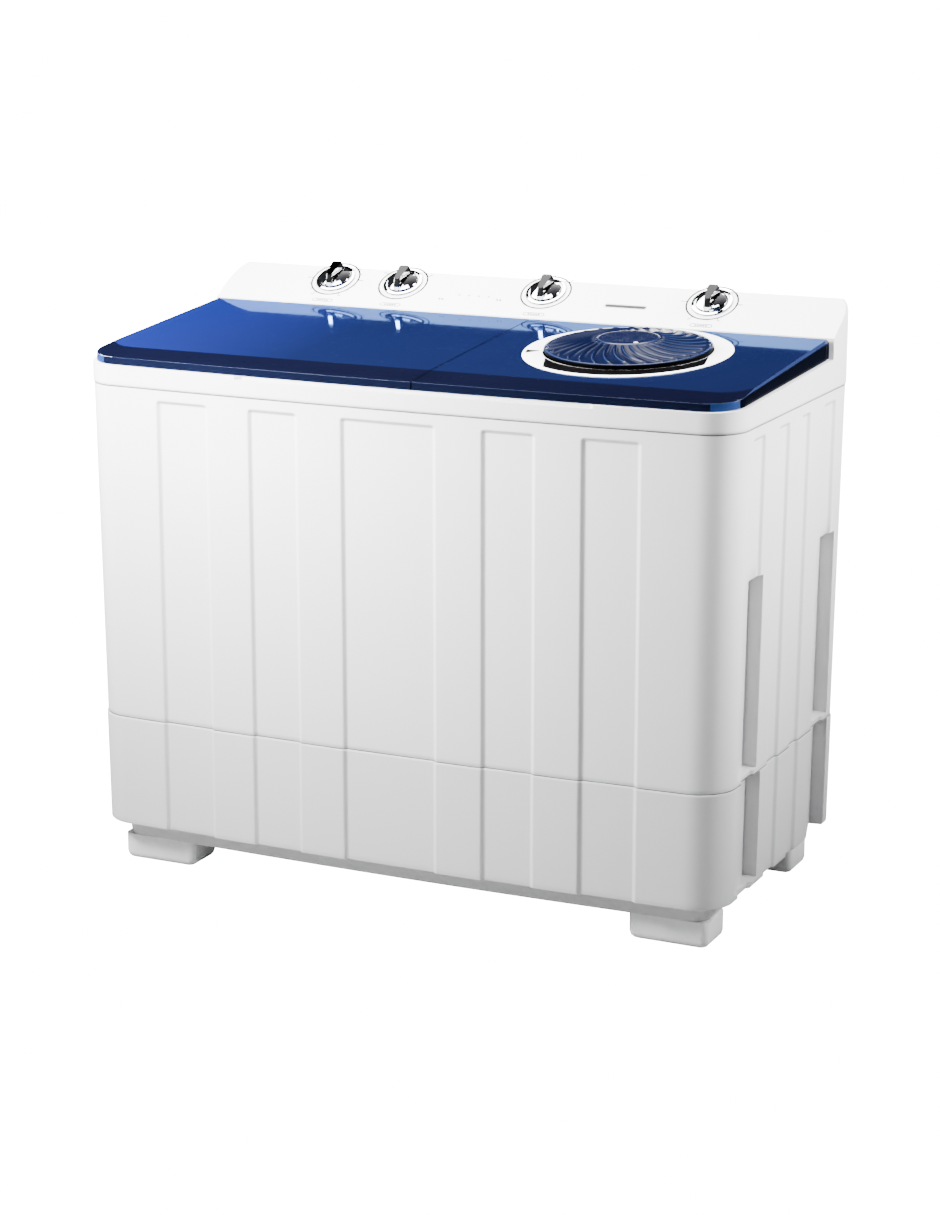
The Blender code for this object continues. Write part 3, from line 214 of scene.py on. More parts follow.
def surface(name, first, second, rough, patch=7.0, grain=500.0, depth=0.0, stretch=(1, 1, 1), shade=None,
            **sockets):
    """A finish with two mingled tones, uneven gloss and a fine grain; shade is (axis, from, to, colour), a
    colour blended in along an axis to paint light or shade.
    """
    material = bpy.data.materials.new(name)
    material.use_nodes = True
    tree = material.node_tree
    shader = tree.nodes["Principled BSDF"]
    place = add_node(tree, "TexCoord").outputs["Object"]
    vector = add_node(tree, "Mapping", {"Vector": place, "Scale": stretch}).outputs["Vector"]
    patches = noise(tree, vector, patch, 5.0)
    color = blend_colors(tree, remap(tree, patches, 0.0, 1.0), first, second)
    if shade:
        # Painted light or shade: the tint is blended in along the axis.
        axis, start, stop, tint = shade
        along = add_node(tree, "SeparateXYZ", {0: place}).outputs[axis]
        drift = {0: patches, 1: abs(stop - start) * SHADE_DRIFT, 2: along}
        wander = add_node(tree, "Math", drift, operation="MULTIPLY_ADD").outputs[0]
        color = blend_colors(tree, remap(tree, wander, 0.0, 1.0, start, stop), color, tint)
    tree.links.new(color, shader.inputs["Base Color"])
    tree.links.new(remap(tree, patches, *rough), shader.inputs["Roughness"])
    shader.inputs["Coat Roughness"].default_value = 0.03
    for key, value in sockets.items():
        shader.inputs[key.replace("_", " ")].default_value = value
    if depth:
        fine = noise(tree, vector, grain, 2.0)
        bump = add_node(tree, "Bump", {"Distance": depth, "Strength": 1.0, "Height": fine})
        tree.links.new(bump.outputs["Normal"], shader.inputs["Normal"])
    return material


def grey(level):
    return (level, level, level)


# Housing white; its shade ramp paints shade on it, darker towards the floor.
HOUSING = surface("housing", grey(0.80), (0.83, 0.83, 0.835), (0.30, 0.40), patch=3.0, grain=900.0,
                  depth=0.000006, shade=("Z", 0.68, 0.20, (0.61, 0.61, 0.615)))
# The base's white: a darker copy of the housing white as painted shade, with more painted shade towards the
# floor.
HOUSING_LOW_SHADED = surface("housing_low_painted_shade", (0.56, 0.56, 0.565), (0.585, 0.585, 0.59), (0.32, 0.42), patch=3.0,
                      grain=900.0, depth=0.000006, shade=("Z", 0.22, 0.0, (0.54, 0.54, 0.545)))
# The feet: a lighter copy of the housing white, painted light.
FOOT_WHITE_LIT = surface("foot_white_painted_light", (0.84, 0.84, 0.845), (0.87, 0.87, 0.875), (0.36, 0.46), patch=9.0,
                     depth=0.00001)
# Dark grey put in the seam gaps as painted shadow.
SEAM_SHADOW = surface("seam_painted_shadow", grey(0.10), (0.14, 0.14, 0.145), (0.5, 0.6), patch=12.0)
# Lid top blue; its shade ramp paints a pool of light, lighter towards the left end.
BLUE_TOP = surface("lid_top", (0.0110, 0.0092, 0.0185), (0.0120, 0.0100, 0.0200), (0.04, 0.07), patch=4.0,
                   shade=("X", -0.16, -0.50, (0.0205, 0.0185, 0.061)), Coat_Weight=1.0, Coat_IOR=1.0,
                   Coat_Tint=(0.72, 0.83, 1.0, 1.0), IOR=1.118)
# Darker copies of the lid blue for the front band, lip and sides: painted shade.
BLUE_BAND_SHADED = surface("lid_band_painted_shade", (0.0013, 0.0016, 0.0062), (0.0015, 0.0019, 0.0072), (0.04, 0.07), IOR=1.10)
BLUE_LIP_SHADED = surface("lid_lip_painted_shade", (0.0024, 0.0034, 0.0110), (0.0030, 0.0042, 0.0135), (0.06, 0.11), IOR=1.15)
BLUE_SIDE_SHADED = surface("lid_side_painted_shade", (0.0004, 0.0006, 0.0024), (0.0005, 0.0008, 0.0030), (0.05, 0.10), IOR=1.08)
# A lighter blue on the lids' soft edges: painted highlights.
BLUE_EDGE_GLINT = surface("lid_edge_painted_highlight", (0.008, 0.014, 0.044), (0.011, 0.018, 0.054), (0.10, 0.16), IOR=1.2)
BLUE_INNER = surface("lid_inner", (0.010, 0.026, 0.100), (0.013, 0.033, 0.120), (0.14, 0.22), depth=0.00001)
DIAL_BLUE = surface("dial_blue", (0.0018, 0.0030, 0.0120), (0.0021, 0.0035, 0.0140), (0.14, 0.20), IOR=1.07)
# A lighter blue on the vane crests and the dome's rounded edges: painted highlights.
VANE_GLINT = surface("vane_painted_highlight", (0.007, 0.013, 0.038), (0.011, 0.018, 0.050), (0.15, 0.22), IOR=1.2)
# A light blue on the front-left lid corner's bevel: a painted highlight.
LID_CORNER_GLINT = surface("lid_corner_painted_highlight", (0.30, 0.38, 0.60), (0.40, 0.48, 0.70), (0.10, 0.16))
RING_WHITE = surface("ring_white", (0.96, 0.97, 0.96), (0.98, 0.985, 0.98), (0.16, 0.24))
# Black of the ring's segments, also used as painted shade on the dome's low outer wall.
RING_BLACK_AND_SHADE = surface("ring_black", (0.0006, 0.0006, 0.0007), (0.0009, 0.0009, 0.0010), (0.30, 0.40),
                     IOR=1.03)
CHROME = surface("chrome", (0.80, 0.81, 0.83), (0.86, 0.87, 0.88), (0.025, 0.06), patch=60.0, Metallic=1.0)
# Near-black chrome: painted dark reflections on the knobs.
CHROME_DARK_REFLECTION = surface("chrome_painted_dark_reflection", (0.0006, 0.0006, 0.0008), (0.0016, 0.0016, 0.0020), (0.03, 0.06),
                      patch=90.0, Metallic=1.0)
PRINT = surface("print_dark", (0.004, 0.004, 0.0045), (0.007, 0.007, 0.008), (0.5, 0.6), patch=300.0,
                depth=0.00002, IOR=1.1)
PRINT_PALE = surface("print_pale", (0.030, 0.030, 0.032), (0.045, 0.045, 0.048), (0.5, 0.6), patch=300.0,
                     depth=0.00002, IOR=1.1)
# Tub plastic; its shade ramp paints shade, darker towards the tub floor.
TUB = surface("tub_plastic", (0.66, 0.74, 0.80), (0.72, 0.79, 0.84), (0.30, 0.42), patch=14.0, grain=1400.0,
              depth=0.00003, shade=("Z", 0.50, 0.33, (0.58, 0.67, 0.74)))
STEEL = surface("brushed_steel", (0.56, 0.57, 0.59), (0.66, 0.67, 0.69), (0.20, 0.36), patch=30.0, grain=60.0,
                depth=0.00003, stretch=(1, 1, 24), Metallic=1.0)
ZINC = surface("zinc_plate", (0.60, 0.615, 0.63), (0.64, 0.655, 0.67), (0.40, 0.48), patch=26.0,
               depth=0.00003, Metallic=0.85)
MOTOR = surface("motor_paint", (0.10, 0.105, 0.11), (0.15, 0.155, 0.16), (0.35, 0.55), depth=0.00008,
                Metallic=0.3)
RUBBER = surface("rubber", (0.020, 0.020, 0.021), (0.035, 0.035, 0.036), (0.65, 0.85), patch=40.0,
                 depth=0.00008)
PULSATOR = surface("pulsator_blue", (0.03, 0.12, 0.36), (0.04, 0.15, 0.42), (0.20, 0.32), patch=18.0,
                   depth=0.00002)
BLACK = surface("black_plastic", (0.012, 0.012, 0.013), (0.022, 0.022, 0.024), (0.35, 0.50), depth=0.00005)
GREY = surface("grey_plastic", (0.34, 0.35, 0.37), (0.42, 0.43, 0.45), (0.40, 0.55), patch=20.0,
               depth=0.00005)
MESH = surface("filter_net", (0.75, 0.77, 0.78), (0.85, 0.86, 0.87), (0.6, 0.8), patch=40.0, depth=0.0001)


# ---- Building helpers -------------------------------------------------------------------------------
def link(name, data):
    obj = bpy.data.objects.new(name, data)
    bpy.context.scene.collection.objects.link(obj)
    return obj


def raw_mesh(name, data, place=None):
    """A mesh from (points, faces)."""
    mesh = bpy.data.meshes.new(name)
    mesh.from_pydata([tuple(p) for p in data[0]], [], data[1])
    if place is not None:
        mesh.transform(place)
    return mesh


def mesh_piece(name, mesh, materials, body="root", replaces=(), slot="housing_white", sharp=32, weighted=True):
    """A visible piece that rides a body and hides the nodes it replaces."""
    mesh.materials.clear()
    for one in materials if isinstance(materials, (list, tuple)) else (materials,):
        mesh.materials.append(one)
    shape = bmesh.new()
    shape.from_mesh(mesh)
    bmesh.ops.remove_doubles(shape, verts=shape.verts, dist=0.000005)
    bmesh.ops.recalc_face_normals(shape, faces=shape.faces)
    shape.to_mesh(mesh)
    shape.free()
    mesh.shade_smooth()
    mesh.set_sharp_from_angle(angle=math.radians(sharp))
    obj = link(name, mesh)
    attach(obj, body)
    if replaces:
        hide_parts(*replaces)
    if weighted:
        modifier = obj.modifiers.new("Weighted", "WEIGHTED_NORMAL")
        modifier.keep_sharp = True
        modifier.weight = 100
    return obj


def piece(name, data, materials, place=None, **settings):
    return mesh_piece(name, raw_mesh(name, data, place), materials, weighted=False, **settings)


def loft_data(rings, hollow=False):
    """Points and faces through rings of equal counts; hollow joins the last ring to the first."""
    count = len(rings[0])
    points = [p for ring in rings for p in ring]
    pairs = [(i, i + 1) for i in range(len(rings) - 1)]
    if hollow:
        pairs.append((len(rings) - 1, 0))
    faces = []
    for lower, upper in pairs:
        for i in range(count):
            j = (i + 1) % count
            faces.append((lower * count + i, lower * count + j, upper * count + j, upper * count + i))
    if not hollow:
        faces.append(tuple(range(count)))
        faces.append(tuple(range((len(rings) - 1) * count, len(rings) * count)))
    return points, faces


def band_faces(rows, steps, closed=False):
    """Faces between rows of steps points each; a row of one point is the centre of a fan."""
    faces = []
    for a, b in list(zip(rows, rows[1:])) + ([(rows[-1], rows[0])] if closed else []):
        for k in range(steps):
            n = (k + 1) % steps
            corners = [a[k % len(a)], a[n % len(a)], b[n % len(b)], b[k % len(b)]]
            corners = [c for i, c in enumerate(corners) if c not in corners[:i]]
            if len(corners) > 2:
                faces.append(tuple(corners))
    return faces


def stacked(rings, steps):
    """Points and faces through rings of steps points each, or of one point on the axis."""
    points, rows = [], []
    for ring in rings:
        rows.append(list(range(len(points), len(points) + len(ring))))
        points += ring
    return points, band_faces(rows, steps)


def grid_faces(columns, lines, base=0):
    """Faces of a grid with columns + 1 points in each of its lines + 1 rows."""
    starts = [base + j * (columns + 1) + i for j in range(lines) for i in range(columns)]
    return [(a, a + 1, a + columns + 2, a + columns + 1) for a in starts]


def polar(radius, angle, center=(0, 0)):
    return center[0] + radius * math.cos(angle), center[1] + radius * math.sin(angle)


def turned_data(profile, steps=64, closed=False, center=(0, 0)):
    """A profile of (radius, height) points turned about Z; ends on the axis are closed with a fan."""
    points, rows = [], []
    for radius, height in profile:
        count = 1 if radius < 1e-6 else steps
        rows.append(list(range(len(points), len(points) + count)))
        points += [(*polar(radius, 2 * math.pi * k / steps, center), height) for k in range(count)]
    return points, band_faces(rows, steps, closed)


def arc(center, radius, start, stop, steps):
    angles = [math.radians(start + (stop - start) * i / steps) for i in range(steps + 1)]
    return [polar(radius, angle, center) for angle in angles]


def circle(center, radius, steps):
    return arc(center, radius, 0, 360 - 360 / steps, steps - 1)


def rectangle(left, bottom, right, top):
    return [(left, bottom), (right, bottom), (right, top), (left, top)]


def rounded_rectangle(low, high, radius, steps=8):
    left, bottom = low[0] + radius, low[1] + radius
    right, top = high[0] - radius, high[1] - radius
    corners = (((left, bottom), 180), ((right, bottom), 270), ((right, top), 0), ((left, top), 90))
    return [p for center, start in corners for p in arc(center, radius, start, start + 90, steps)]


def prism_data(outline, low, high, axis="Z"):
    """An outline pushed along an axis from low to high."""
    def place(u, v, w):
        return {"X": (w, u, v), "Y": (u, w, v), "Z": (u, v, w)}[axis]

    return loft_data([[place(u, v, w) for u, v in outline] for w in (low, high)])


def solid(data, place=None):
    """A loose solid, for use in a Boolean."""
    mesh = raw_mesh("tool", data, place)
    shape = bmesh.new()
    shape.from_mesh(mesh)
    bmesh.ops.recalc_face_normals(shape, faces=shape.faces)
    shape.to_mesh(mesh)
    shape.free()
    return link("tool", mesh)


def combine(obj, operation, *tools):
    """Applies one Boolean with each tool in turn and returns the finished mesh."""
    for tool in tools:
        modifier = obj.modifiers.new(operation, "BOOLEAN")
        modifier.operation = operation
        modifier.object = tool
        modifier.solver = "EXACT"
    bpy.context.view_layer.update()
    evaluated = obj.evaluated_get(bpy.context.evaluated_depsgraph_get())
    mesh = bpy.data.meshes.new_from_object(evaluated)
    for stale in (obj, *tools):
        bpy.data.objects.remove(stale, do_unlink=True)
    return mesh


def soften(mesh, width, angle=20, segments=2):
    """Rounds a mesh's edges."""
    shape = bmesh.new()
    shape.from_mesh(mesh)
    bmesh.ops.remove_doubles(shape, verts=shape.verts, dist=0.00002)
    bmesh.ops.dissolve_limit(shape, angle_limit=math.radians(0.4), verts=shape.verts, edges=shape.edges)
    limit = math.radians(angle)
    edges = [e for e in shape.edges if len(e.link_faces) == 2 and e.calc_face_angle(0) > limit]
    bmesh.ops.bevel(shape, geom=edges, offset=width, segments=segments, profile=0.5, affect="EDGES",
                    clamp_overlap=True)
    shape.to_mesh(mesh)
    shape.free()
    return mesh


# ---- Body walls -------------------------------------------------------------------------------------
def spread_out(values, low, high, closest):
    """The values between low and high in order, without those closer together than closest."""
    values = sorted(v for v in values if low <= v <= high)
    kept = [values[0]]
    for value in values[1:]:
        if value - kept[-1] > closest:
            kept.append(value)
    return kept


def evenly(low, high, step):
    count = max(1, int((high - low) / step))
    return [low + (high - low) * i / count for i in range(count + 1)]


def samples(low, high, step, spans):
    """Evenly spaced values from low to high, with more of them across each recess's soft edges."""
    values = evenly(low, high, step)
    for start, stop in spans:
        for t in (-0.15, 0.0, 0.2, 0.4, 0.6, 0.8, 1.0, 1.15):
            values += [start + RIB_RUN * t, stop - RIB_RUN * t]
    return spread_out(values, low, high, 0.0006)


FRONT_X = samples(-FRONT_HALF, FRONT_HALF, 0.022, FRONT_RIBS)


def side_samples(shift):
    values = samples(SIDE_START, SIDE_END, 0.009, SIDE_RIBS)
    for start in (SCOOP_FRONT[0], SCOOP_REAR[0]):
        values += [start, start + 0.002, start + 0.004]
    for stop in (SCOOP_FRONT[1] + shift, SCOOP_REAR[1]):
        values = [v for v in values if not stop - SCOOP_STEP - 0.0012 < v < stop + 0.0012]
        values += [stop - SCOOP_STEP - 0.0010, stop + 0.0010]
        values += [stop - SCOOP_STEP * share for share in (1.0, 0.66, 0.33, 0.0)]
    return sorted(v for v in values if v < SIDE_END + 0.0001)


def front_and_corner(front_x, half_x, half_y, radius):
    """The bowed front edge from left to right and round the right corner."""
    front = [(x, -half_y - bow(x)) for x in front_x]
    corner = arc((half_x - radius, -half_y + radius), radius, 270, 360, 14)
    return front, [(x, y - bow(x)) for x, y in corner]


def mirrored(front, half):
    return front + half + [(-x, y) for x, y in reversed(half)]


def body_ring(z, inset, rib_at, scoop_at=None, shift=0.0):
    """The body's outline at one height. rib_at and scoop_at give the depths of its soft recesses."""
    drop = max(0.0, SEAM - z)
    half_x = HALF_WIDTH - TAPER_X * drop - inset
    half_y = HALF_DEPTH - TAPER_Y * drop - inset
    front, corner = front_and_corner(FRONT_X, half_x, half_y, CORNER_FRONT - inset)
    front = [(x, y + max(rib_at(x, z, span) for span in FRONT_RIBS)) for x, y in front]
    side = []
    for y in side_samples(shift):
        own = max(rib_at(y, z, span) for span in SIDE_RIBS)
        for index, (start, stop) in enumerate((SCOOP_FRONT, SCOOP_REAR)):
            stop += shift if index == 0 else 0.0
            if scoop_at and start <= y <= stop:
                ramp = SCOOP_DEPTH * min(1.0, (y - start) / (stop - SCOOP_STEP - start))
                if y > stop - SCOOP_STEP:
                    ramp = SCOOP_DEPTH * (stop - y) / SCOOP_STEP
                gate = scoop_at(z, index)
                own = own * (1 - gate) + ramp * gate
        side.append((half_x - own, y))
    radius = CORNER_REAR - inset
    rear = arc((half_x - radius, half_y - radius), radius, 0, 90, 9)
    return [(x, y, z) for x, y in mirrored(front, corner + side + rear)]


def around(z, reach, count=5):
    return [z + reach * (2 * i / (count - 1) - 1) for i in range(count)]


def open_rib(depth):
    """A recess that runs the whole height."""
    return lambda value, z, span: depth * smooth(min(value - span[0], span[1] - value) / RIB_RUN)


def topped_rib(value, z, span):
    """A recess with a rounded upper end."""
    side = min(value - span[0], span[1] - value)
    top = SEAM - RIB_TOP_DROP - z
    reach = min(side, top)
    if side < RIB_ROUND and top < RIB_ROUND:
        reach = RIB_ROUND - math.hypot(RIB_ROUND - side, RIB_ROUND - top)
    return RIB_DEPTH * smooth(reach / RIB_RUN)


def make_cabinet():
    rib_top = SEAM - RIB_TOP_DROP
    scoop_top = SEAM - SCOOP_TOP_DROP
    ledge = BASE_SEAM + LEDGE

    def scoop_at(z, index):
        return smooth((z - ledge + 0.002) / 0.002) * smooth((scoop_top - z) / 0.003)

    def ring(z, inset):
        return body_ring(z, OVERHANG + inset, topped_rib, scoop_at)

    low, high = BASE_SEAM + GAP, SEAM - GAP
    special = around(ledge - 0.001, 0.0012) + around(scoop_top - 0.0015, 0.0018)
    special += around(rib_top - 0.0045, 0.0055, 11)
    zs = spread_out(evenly(low + 0.0008, high, WALL_STEP) + special, low + 0.0008, high, 0.0004)
    outer = [ring(low, 0.0007)] + [ring(z, 0.0) for z in zs]
    inner = [ring(z, WALL) for z in [low] + zs]
    piece("cabinet", loft_data(outer + inner[::-1], hollow=True), HOUSING, replaces=["cabinet_shell"], sharp=50)


def make_base():
    ledge_top = SKIRT + LEDGE
    high = BASE_SEAM

    def scoop_at(z, index):
        closing = 1 - 0.6 * smooth((z - high + 0.008) / 0.008)
        return closing * (smooth((z - ledge_top) / 0.002) if index == 0 else 1.0)

    def ring(z, inset):
        return body_ring(z, inset, open_rib(RIB_DEPTH), scoop_at, BASE_SCOOP_SHIFT)

    def pan(z, inset):
        outline = body_ring(SKIRT, PAN_INSET + inset, open_rib(0.0), shift=BASE_SCOOP_SHIFT)
        return [(x, y, z) for x, y, _ in outline]

    special = around(ledge_top + 0.001, 0.0012) + around(high - 0.004, 0.004, 6)
    low, top = SKIRT + 0.0022, high - 0.0007
    zs = spread_out(evenly(low, top, WALL_STEP) + special, low, top, 0.0004)
    rings = [pan(PAN_LOW, 0.004), pan(PAN_LOW + 0.0015, 0.0028), pan(SKIRT, 0.0)]
    rings += [ring(SKIRT, 0.0026), ring(SKIRT + 0.0006, 0.0010), ring(SKIRT + 0.0014, 0.0003)]
    rings += [ring(z, 0.0) for z in zs] + [ring(high, 0.0007)]
    rings += [ring(high, WALL + 0.0007)] + [ring(z, WALL) for z in reversed(zs) if z > SKIRT + WALL + 0.001]
    rings += [ring(SKIRT + WALL, WALL), pan(SKIRT + WALL, WALL), pan(PAN_LOW + WALL, WALL + 0.004)]
    piece("base", loft_data(rings), HOUSING_LOW_SHADED, replaces=["base_housing"], sharp=50)


def make_seam(name, low, high, rib_depth):
    """A dark strip in the gap that runs round the body where two housings meet; its grey is painted shadow."""
    near, far = OVERHANG - 0.00015, OVERHANG + 0.0012
    corners = ((low, near), (high, near), (high, far), (low, far))
    rings = [body_ring(z, inset, open_rib(rib_depth)) for z, inset in corners]
    piece(name, loft_data(rings, hollow=True), SEAM_SHADOW, sharp=50)


def make_foot(node):
    """A moulded foot with a rounded lower edge."""
    low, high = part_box(node)
    rows = []
    for t in (0.0, 0.06, 0.2, 0.4, 0.65, 1.0):
        angle = t * math.pi / 2
        rows.append((FOOT_ROUND * (1 - math.sin(angle)), low.z + FOOT_ROUND * (1 - math.cos(angle))))
    rings = []
    for inset, z in rows + [(0.0, high.z - 0.004), (0.0, high.z)]:
        outline = rounded_rectangle((low.x + inset, low.y + inset), (high.x - inset, high.y - inset),
                                    FOOT_ROUND - inset * 0.6)
        rings.append([(x, y, z) for x, y in outline])
    piece(node + "_moulded", loft_data(rings), FOOT_WHITE_LIT, replaces=[node], sharp=50)


# ---- Top frame --------------------------------------------------------------------------------------
def plain_outline(inset):
    half_x, half_y = HALF_WIDTH - inset, HALF_DEPTH - inset
    front, corner = front_and_corner([FRONT_HALF * i / 12 for i in range(-12, 13)], half_x, half_y,
                                     max(0.004, CORNER_FRONT - inset))
    radius = max(0.004, CORNER_REAR - inset)
    return mirrored(front, corner + arc((half_x - radius, half_y - radius), radius, 0, 90, 8))


def frame_profile(inset, bar):
    """The frame's section from front to rear: the rim under the lids and the sloped panel."""
    far = 3 * HALF_DEPTH
    slope = math.tan(PANEL_ANGLE)
    drop = inset / math.cos(PANEL_ANGLE)
    foot_y = PANEL_FOOT_Y + inset
    rear_y = HALF_DEPTH - inset
    start_y = rear_y - PANEL_REAR_ROUND * 1.2
    top_z = PANEL_FOOT_Z + slope * (start_y - PANEL_FOOT_Y) - drop
    rear_z = top_z - PANEL_REAR_ROUND * 0.9
    front_y = -HALF_DEPTH + 0.014
    bottom = SEAM - (0.03 if inset else 0.01)
    points = [(-far, bottom)]
    if bar:
        points += [(-far, rim_z(-HALF_DEPTH) - bar), (front_y, rim_z(front_y) - bar),
                   (front_y, rim_z(front_y) - inset)]
    else:
        points += [(-far, rim_z(-far))]
    foot_z = PANEL_FOOT_Z + slope * (foot_y - PANEL_FOOT_Y) - drop
    points += [(foot_y, rim_z(foot_y) - inset), (foot_y, foot_z)]
    points += [(start_y + PANEL_REAR_ROUND * share, top_z + rise)
               for share, rise in ((0.0, 0.0), (0.40, 0.0012), (0.78, 0.0006), (1.05, -0.0022))]
    return points + [(rear_y, rear_z), (far, rear_z - (far - rear_y)), (far, bottom)]


def frame_solid(inset, bar):
    crown = panel_point((HALF_DEPTH - PANEL_FOOT_Y) / math.cos(PANEL_ANGLE)).z - inset
    rows = [(SEAM - 0.01, inset), (crown + 0.05, inset)]
    if inset == 0:
        rows = [(SEAM, 0.0024), (SEAM + 0.0006, 0.0012), (SEAM + 0.0018, 0.0005), (SEAM + 0.0034, 0.0001),
                (SEAM + 0.0050, 0.0), (crown + 0.05, 0.0)]
    block = solid(loft_data([[(x, y, z) for x, y in plain_outline(own)] for z, own in rows]))
    side = solid(prism_data(frame_profile(inset, bar), -1.0, 1.0, "X"))
    half, corner = HALF_WIDTH - inset, PANEL_END_ROUND - inset
    ends = [(-half - 0.01, SEAM - 0.05), (half + 0.01, SEAM - 0.05), (half + 0.01, crown - corner)]
    ends += arc((half - corner, crown - corner), corner, 0, 90, 12)
    ends += arc((-half + corner, crown - corner), corner, 90, 180, 12)
    ends += [(-half - 0.01, crown - corner)]
    return link("tool", combine(block, "INTERSECT", side, solid(prism_data(ends, -1.0, 1.0, "Y"))))


def recess_solid():
    """The finger recess along the front rim."""
    ramp = 0.008
    start, stop = RECESS_X
    xs = [start + (stop - start) * i / 24 for i in range(25)]
    outline = []
    for x in sorted(xs + [start + ramp, stop - ramp]):
        inward = smooth(min(x - start, stop - x) / ramp)
        outline.append((x, -HALF_DEPTH - bow(x) + 0.0005 + RECESS_DEPTH * inward))
    outline += [(stop, -2 * HALF_DEPTH), (start, -2 * HALF_DEPTH)]
    bottom = rim_z(-HALF_DEPTH) - RECESS_DROP
    return solid(prism_data(outline, bottom, bottom + 0.05))


def make_frame():
    openings = [rounded_rectangle((tub_low.x + TUB_REVEAL, tub_low.y + TUB_REVEAL),
                                  (tub_high.x - TUB_REVEAL, tub_high.y - TUB_REVEAL), 0.055, 12),
                circle((SPIN_X, SPIN_Y), (outer_high.x - outer_low.x) / 2 - SPIN_REVEAL, 120)]
    cuts = [solid(prism_data(outline, SEAM - 0.02, SEAM + 0.12)) for outline in openings]
    mesh = combine(frame_solid(0.0, 0.0), "DIFFERENCE", frame_solid(WALL, 0.012), *cuts, recess_solid())
    soften(mesh, 0.0011, 24, 3)
    mesh_piece("top_frame_moulded", mesh, HOUSING, replaces=["top_frame"], sharp=28)


# ---- Lids -------------------------------------------------------------------------------------------
def lid_rings(inset):
    half_x = HALF_WIDTH - LID_INSET - inset
    front = HALF_DEPTH - LID_INSET - inset
    rear = LID_REAR_Y - inset
    radius = CORNER_FRONT - LID_INSET - inset
    xs = [half_x * 0.85 * i / 10 for i in range(-10, 11)]

    def outline(front_y, bow_share, side_inset, rear_y):
        edge = half_x - side_inset
        corner = arc((edge - radius, front_y + radius), radius, 270, 360, 14)
        right = [(x, y - bow(x) * bow_share) for x, y in corner] + [(edge, rear_y)]
        return mirrored([(x, front_y - bow(x) * bow_share) for x in xs], right)

    def crease_height(y):
        if y > rear - 0.001:
            return lid_z(y) - 0.005 - inset
        fade = min(1.0, max(0.0, (y + front + bow(half_x - radius)) / radius))
        return (1 - fade) * (rim_z(-HALF_DEPTH) + LID_GAP + LID_LIP) + fade * (lid_z(y) - 0.002) - inset

    floor = -0.02 if inset else LID_GAP
    lip = [(x, y, rim_z(y) + floor) for x, y in outline(-front, 1.0, 0.0, rear)]
    crease = [(x, y, crease_height(y)) for x, y in outline(-front + 0.0006, 1.0, 0.0004, rear)]
    top = [(x, y, lid_z(y) - inset) for x, y in outline(LID_BREAK_Y + inset, 0.0, 0.0025, rear - 0.004)]
    return [lip, crease, top]


def lid_block(start, stop, inset):
    span = solid(prism_data(rectangle(start + inset, -1, stop - inset, 1), 0.6, 1.0))
    return link("tool", combine(solid(loft_data(lid_rings(inset))), "INTERSECT", span))


def lid_finish(face):
    """The finish of one face of a lid: its top, front band, lip, sides, soft edges or inside. The band, lip and
    sides get darker copies of the blue as painted shade, the soft edges and the front-left corner bevel lighter
    ones as painted highlights.
    """
    n, c = face.normal, face.center
    lip_y = -HALF_DEPTH + LID_INSET
    outside = abs(c.x) > HALF_WIDTH - LID_INSET - 0.0024 or c.y < lip_y + 0.0022 - bow(c.x) * 0.9
    if n.dot(Vector((0, -LID_SLOPE, 1)).normalized()) > 0.9996:
        return BLUE_TOP
    if abs(c.x - LID_SPLIT_X) < 0.0025:
        return BLUE_SIDE_SHADED
    # The front-left corner's bevel gets a painted highlight.
    if 0.35 < n.z < 0.97 and c.x < CORNER_FRONT - HALF_WIDTH and c.y < -HALF_DEPTH + 0.022:
        return LID_CORNER_GLINT
    if n.z < -0.3 or (c.z < lid_z(c.y) - 0.0022 and not outside and n.z < 0.85):
        return BLUE_INNER
    if face.area < 0.000018 and abs(n.z) > 0.25 and outside:
        return BLUE_EDGE_GLINT
    if n.z > 0.9 and c.y < LID_BREAK_Y + 0.05:
        return BLUE_BAND_SHADED
    if n.z > 0.3:
        return BLUE_EDGE_GLINT
    return BLUE_LIP_SHADED if n.y < -0.8 else BLUE_SIDE_SHADED


def make_lid(name, start, stop):
    heel = HINGE_Z - HINGE_DROP * 2
    cuts = [lid_block(start, stop, LID_WALL), solid(prism_data(rectangle(-1, HINGE_Y, 1, 1), 0.6, heel))]
    for number in (1, 2, 3, 4):
        low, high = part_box(f"lid_hinge_bracket_{number}")
        if start < low.x < stop:
            notch = rectangle(low.x - 0.0015, HINGE_Y + 0.004, high.x + 0.0015, 1)
            cuts.append(solid(prism_data(notch, 0.6, HINGE_Z + HINGE_DROP - LID_WALL - 0.0005)))
    if name == "spin_lid":
        section = rectangle(VENT_INNER, -0.01, VENT_OUTER, 0.01)
        cuts.append(solid(turned_data(section, 96, closed=True), dial_matrix()))
    mesh = combine(lid_block(start, stop, 0.0), "DIFFERENCE", *cuts)
    soften(mesh, 0.0007, 3.2, 2)
    finishes = [BLUE_TOP, BLUE_BAND_SHADED, BLUE_LIP_SHADED, BLUE_SIDE_SHADED, BLUE_EDGE_GLINT, BLUE_INNER, LID_CORNER_GLINT]
    obj = mesh_piece(name + "_moulded", mesh, finishes, body=name, replaces=[name], slot="lid_blue",
                     sharp=40)
    for face in obj.data.polygons:
        face.material_index = finishes.index(lid_finish(face))


# ---- Air vent ---------------------------------------------------------------------------------------
def stretch(point):
    """The ring is a little longer towards the front of the lid."""
    r = math.hypot(point[0], point[1])
    share = max(0.0, -point[1] / r) * smooth((r - DIAL_RADIUS) / (RING_OUTER - DIAL_RADIUS))
    return (point[0], point[1] - 0.010 * share, *point[2:])


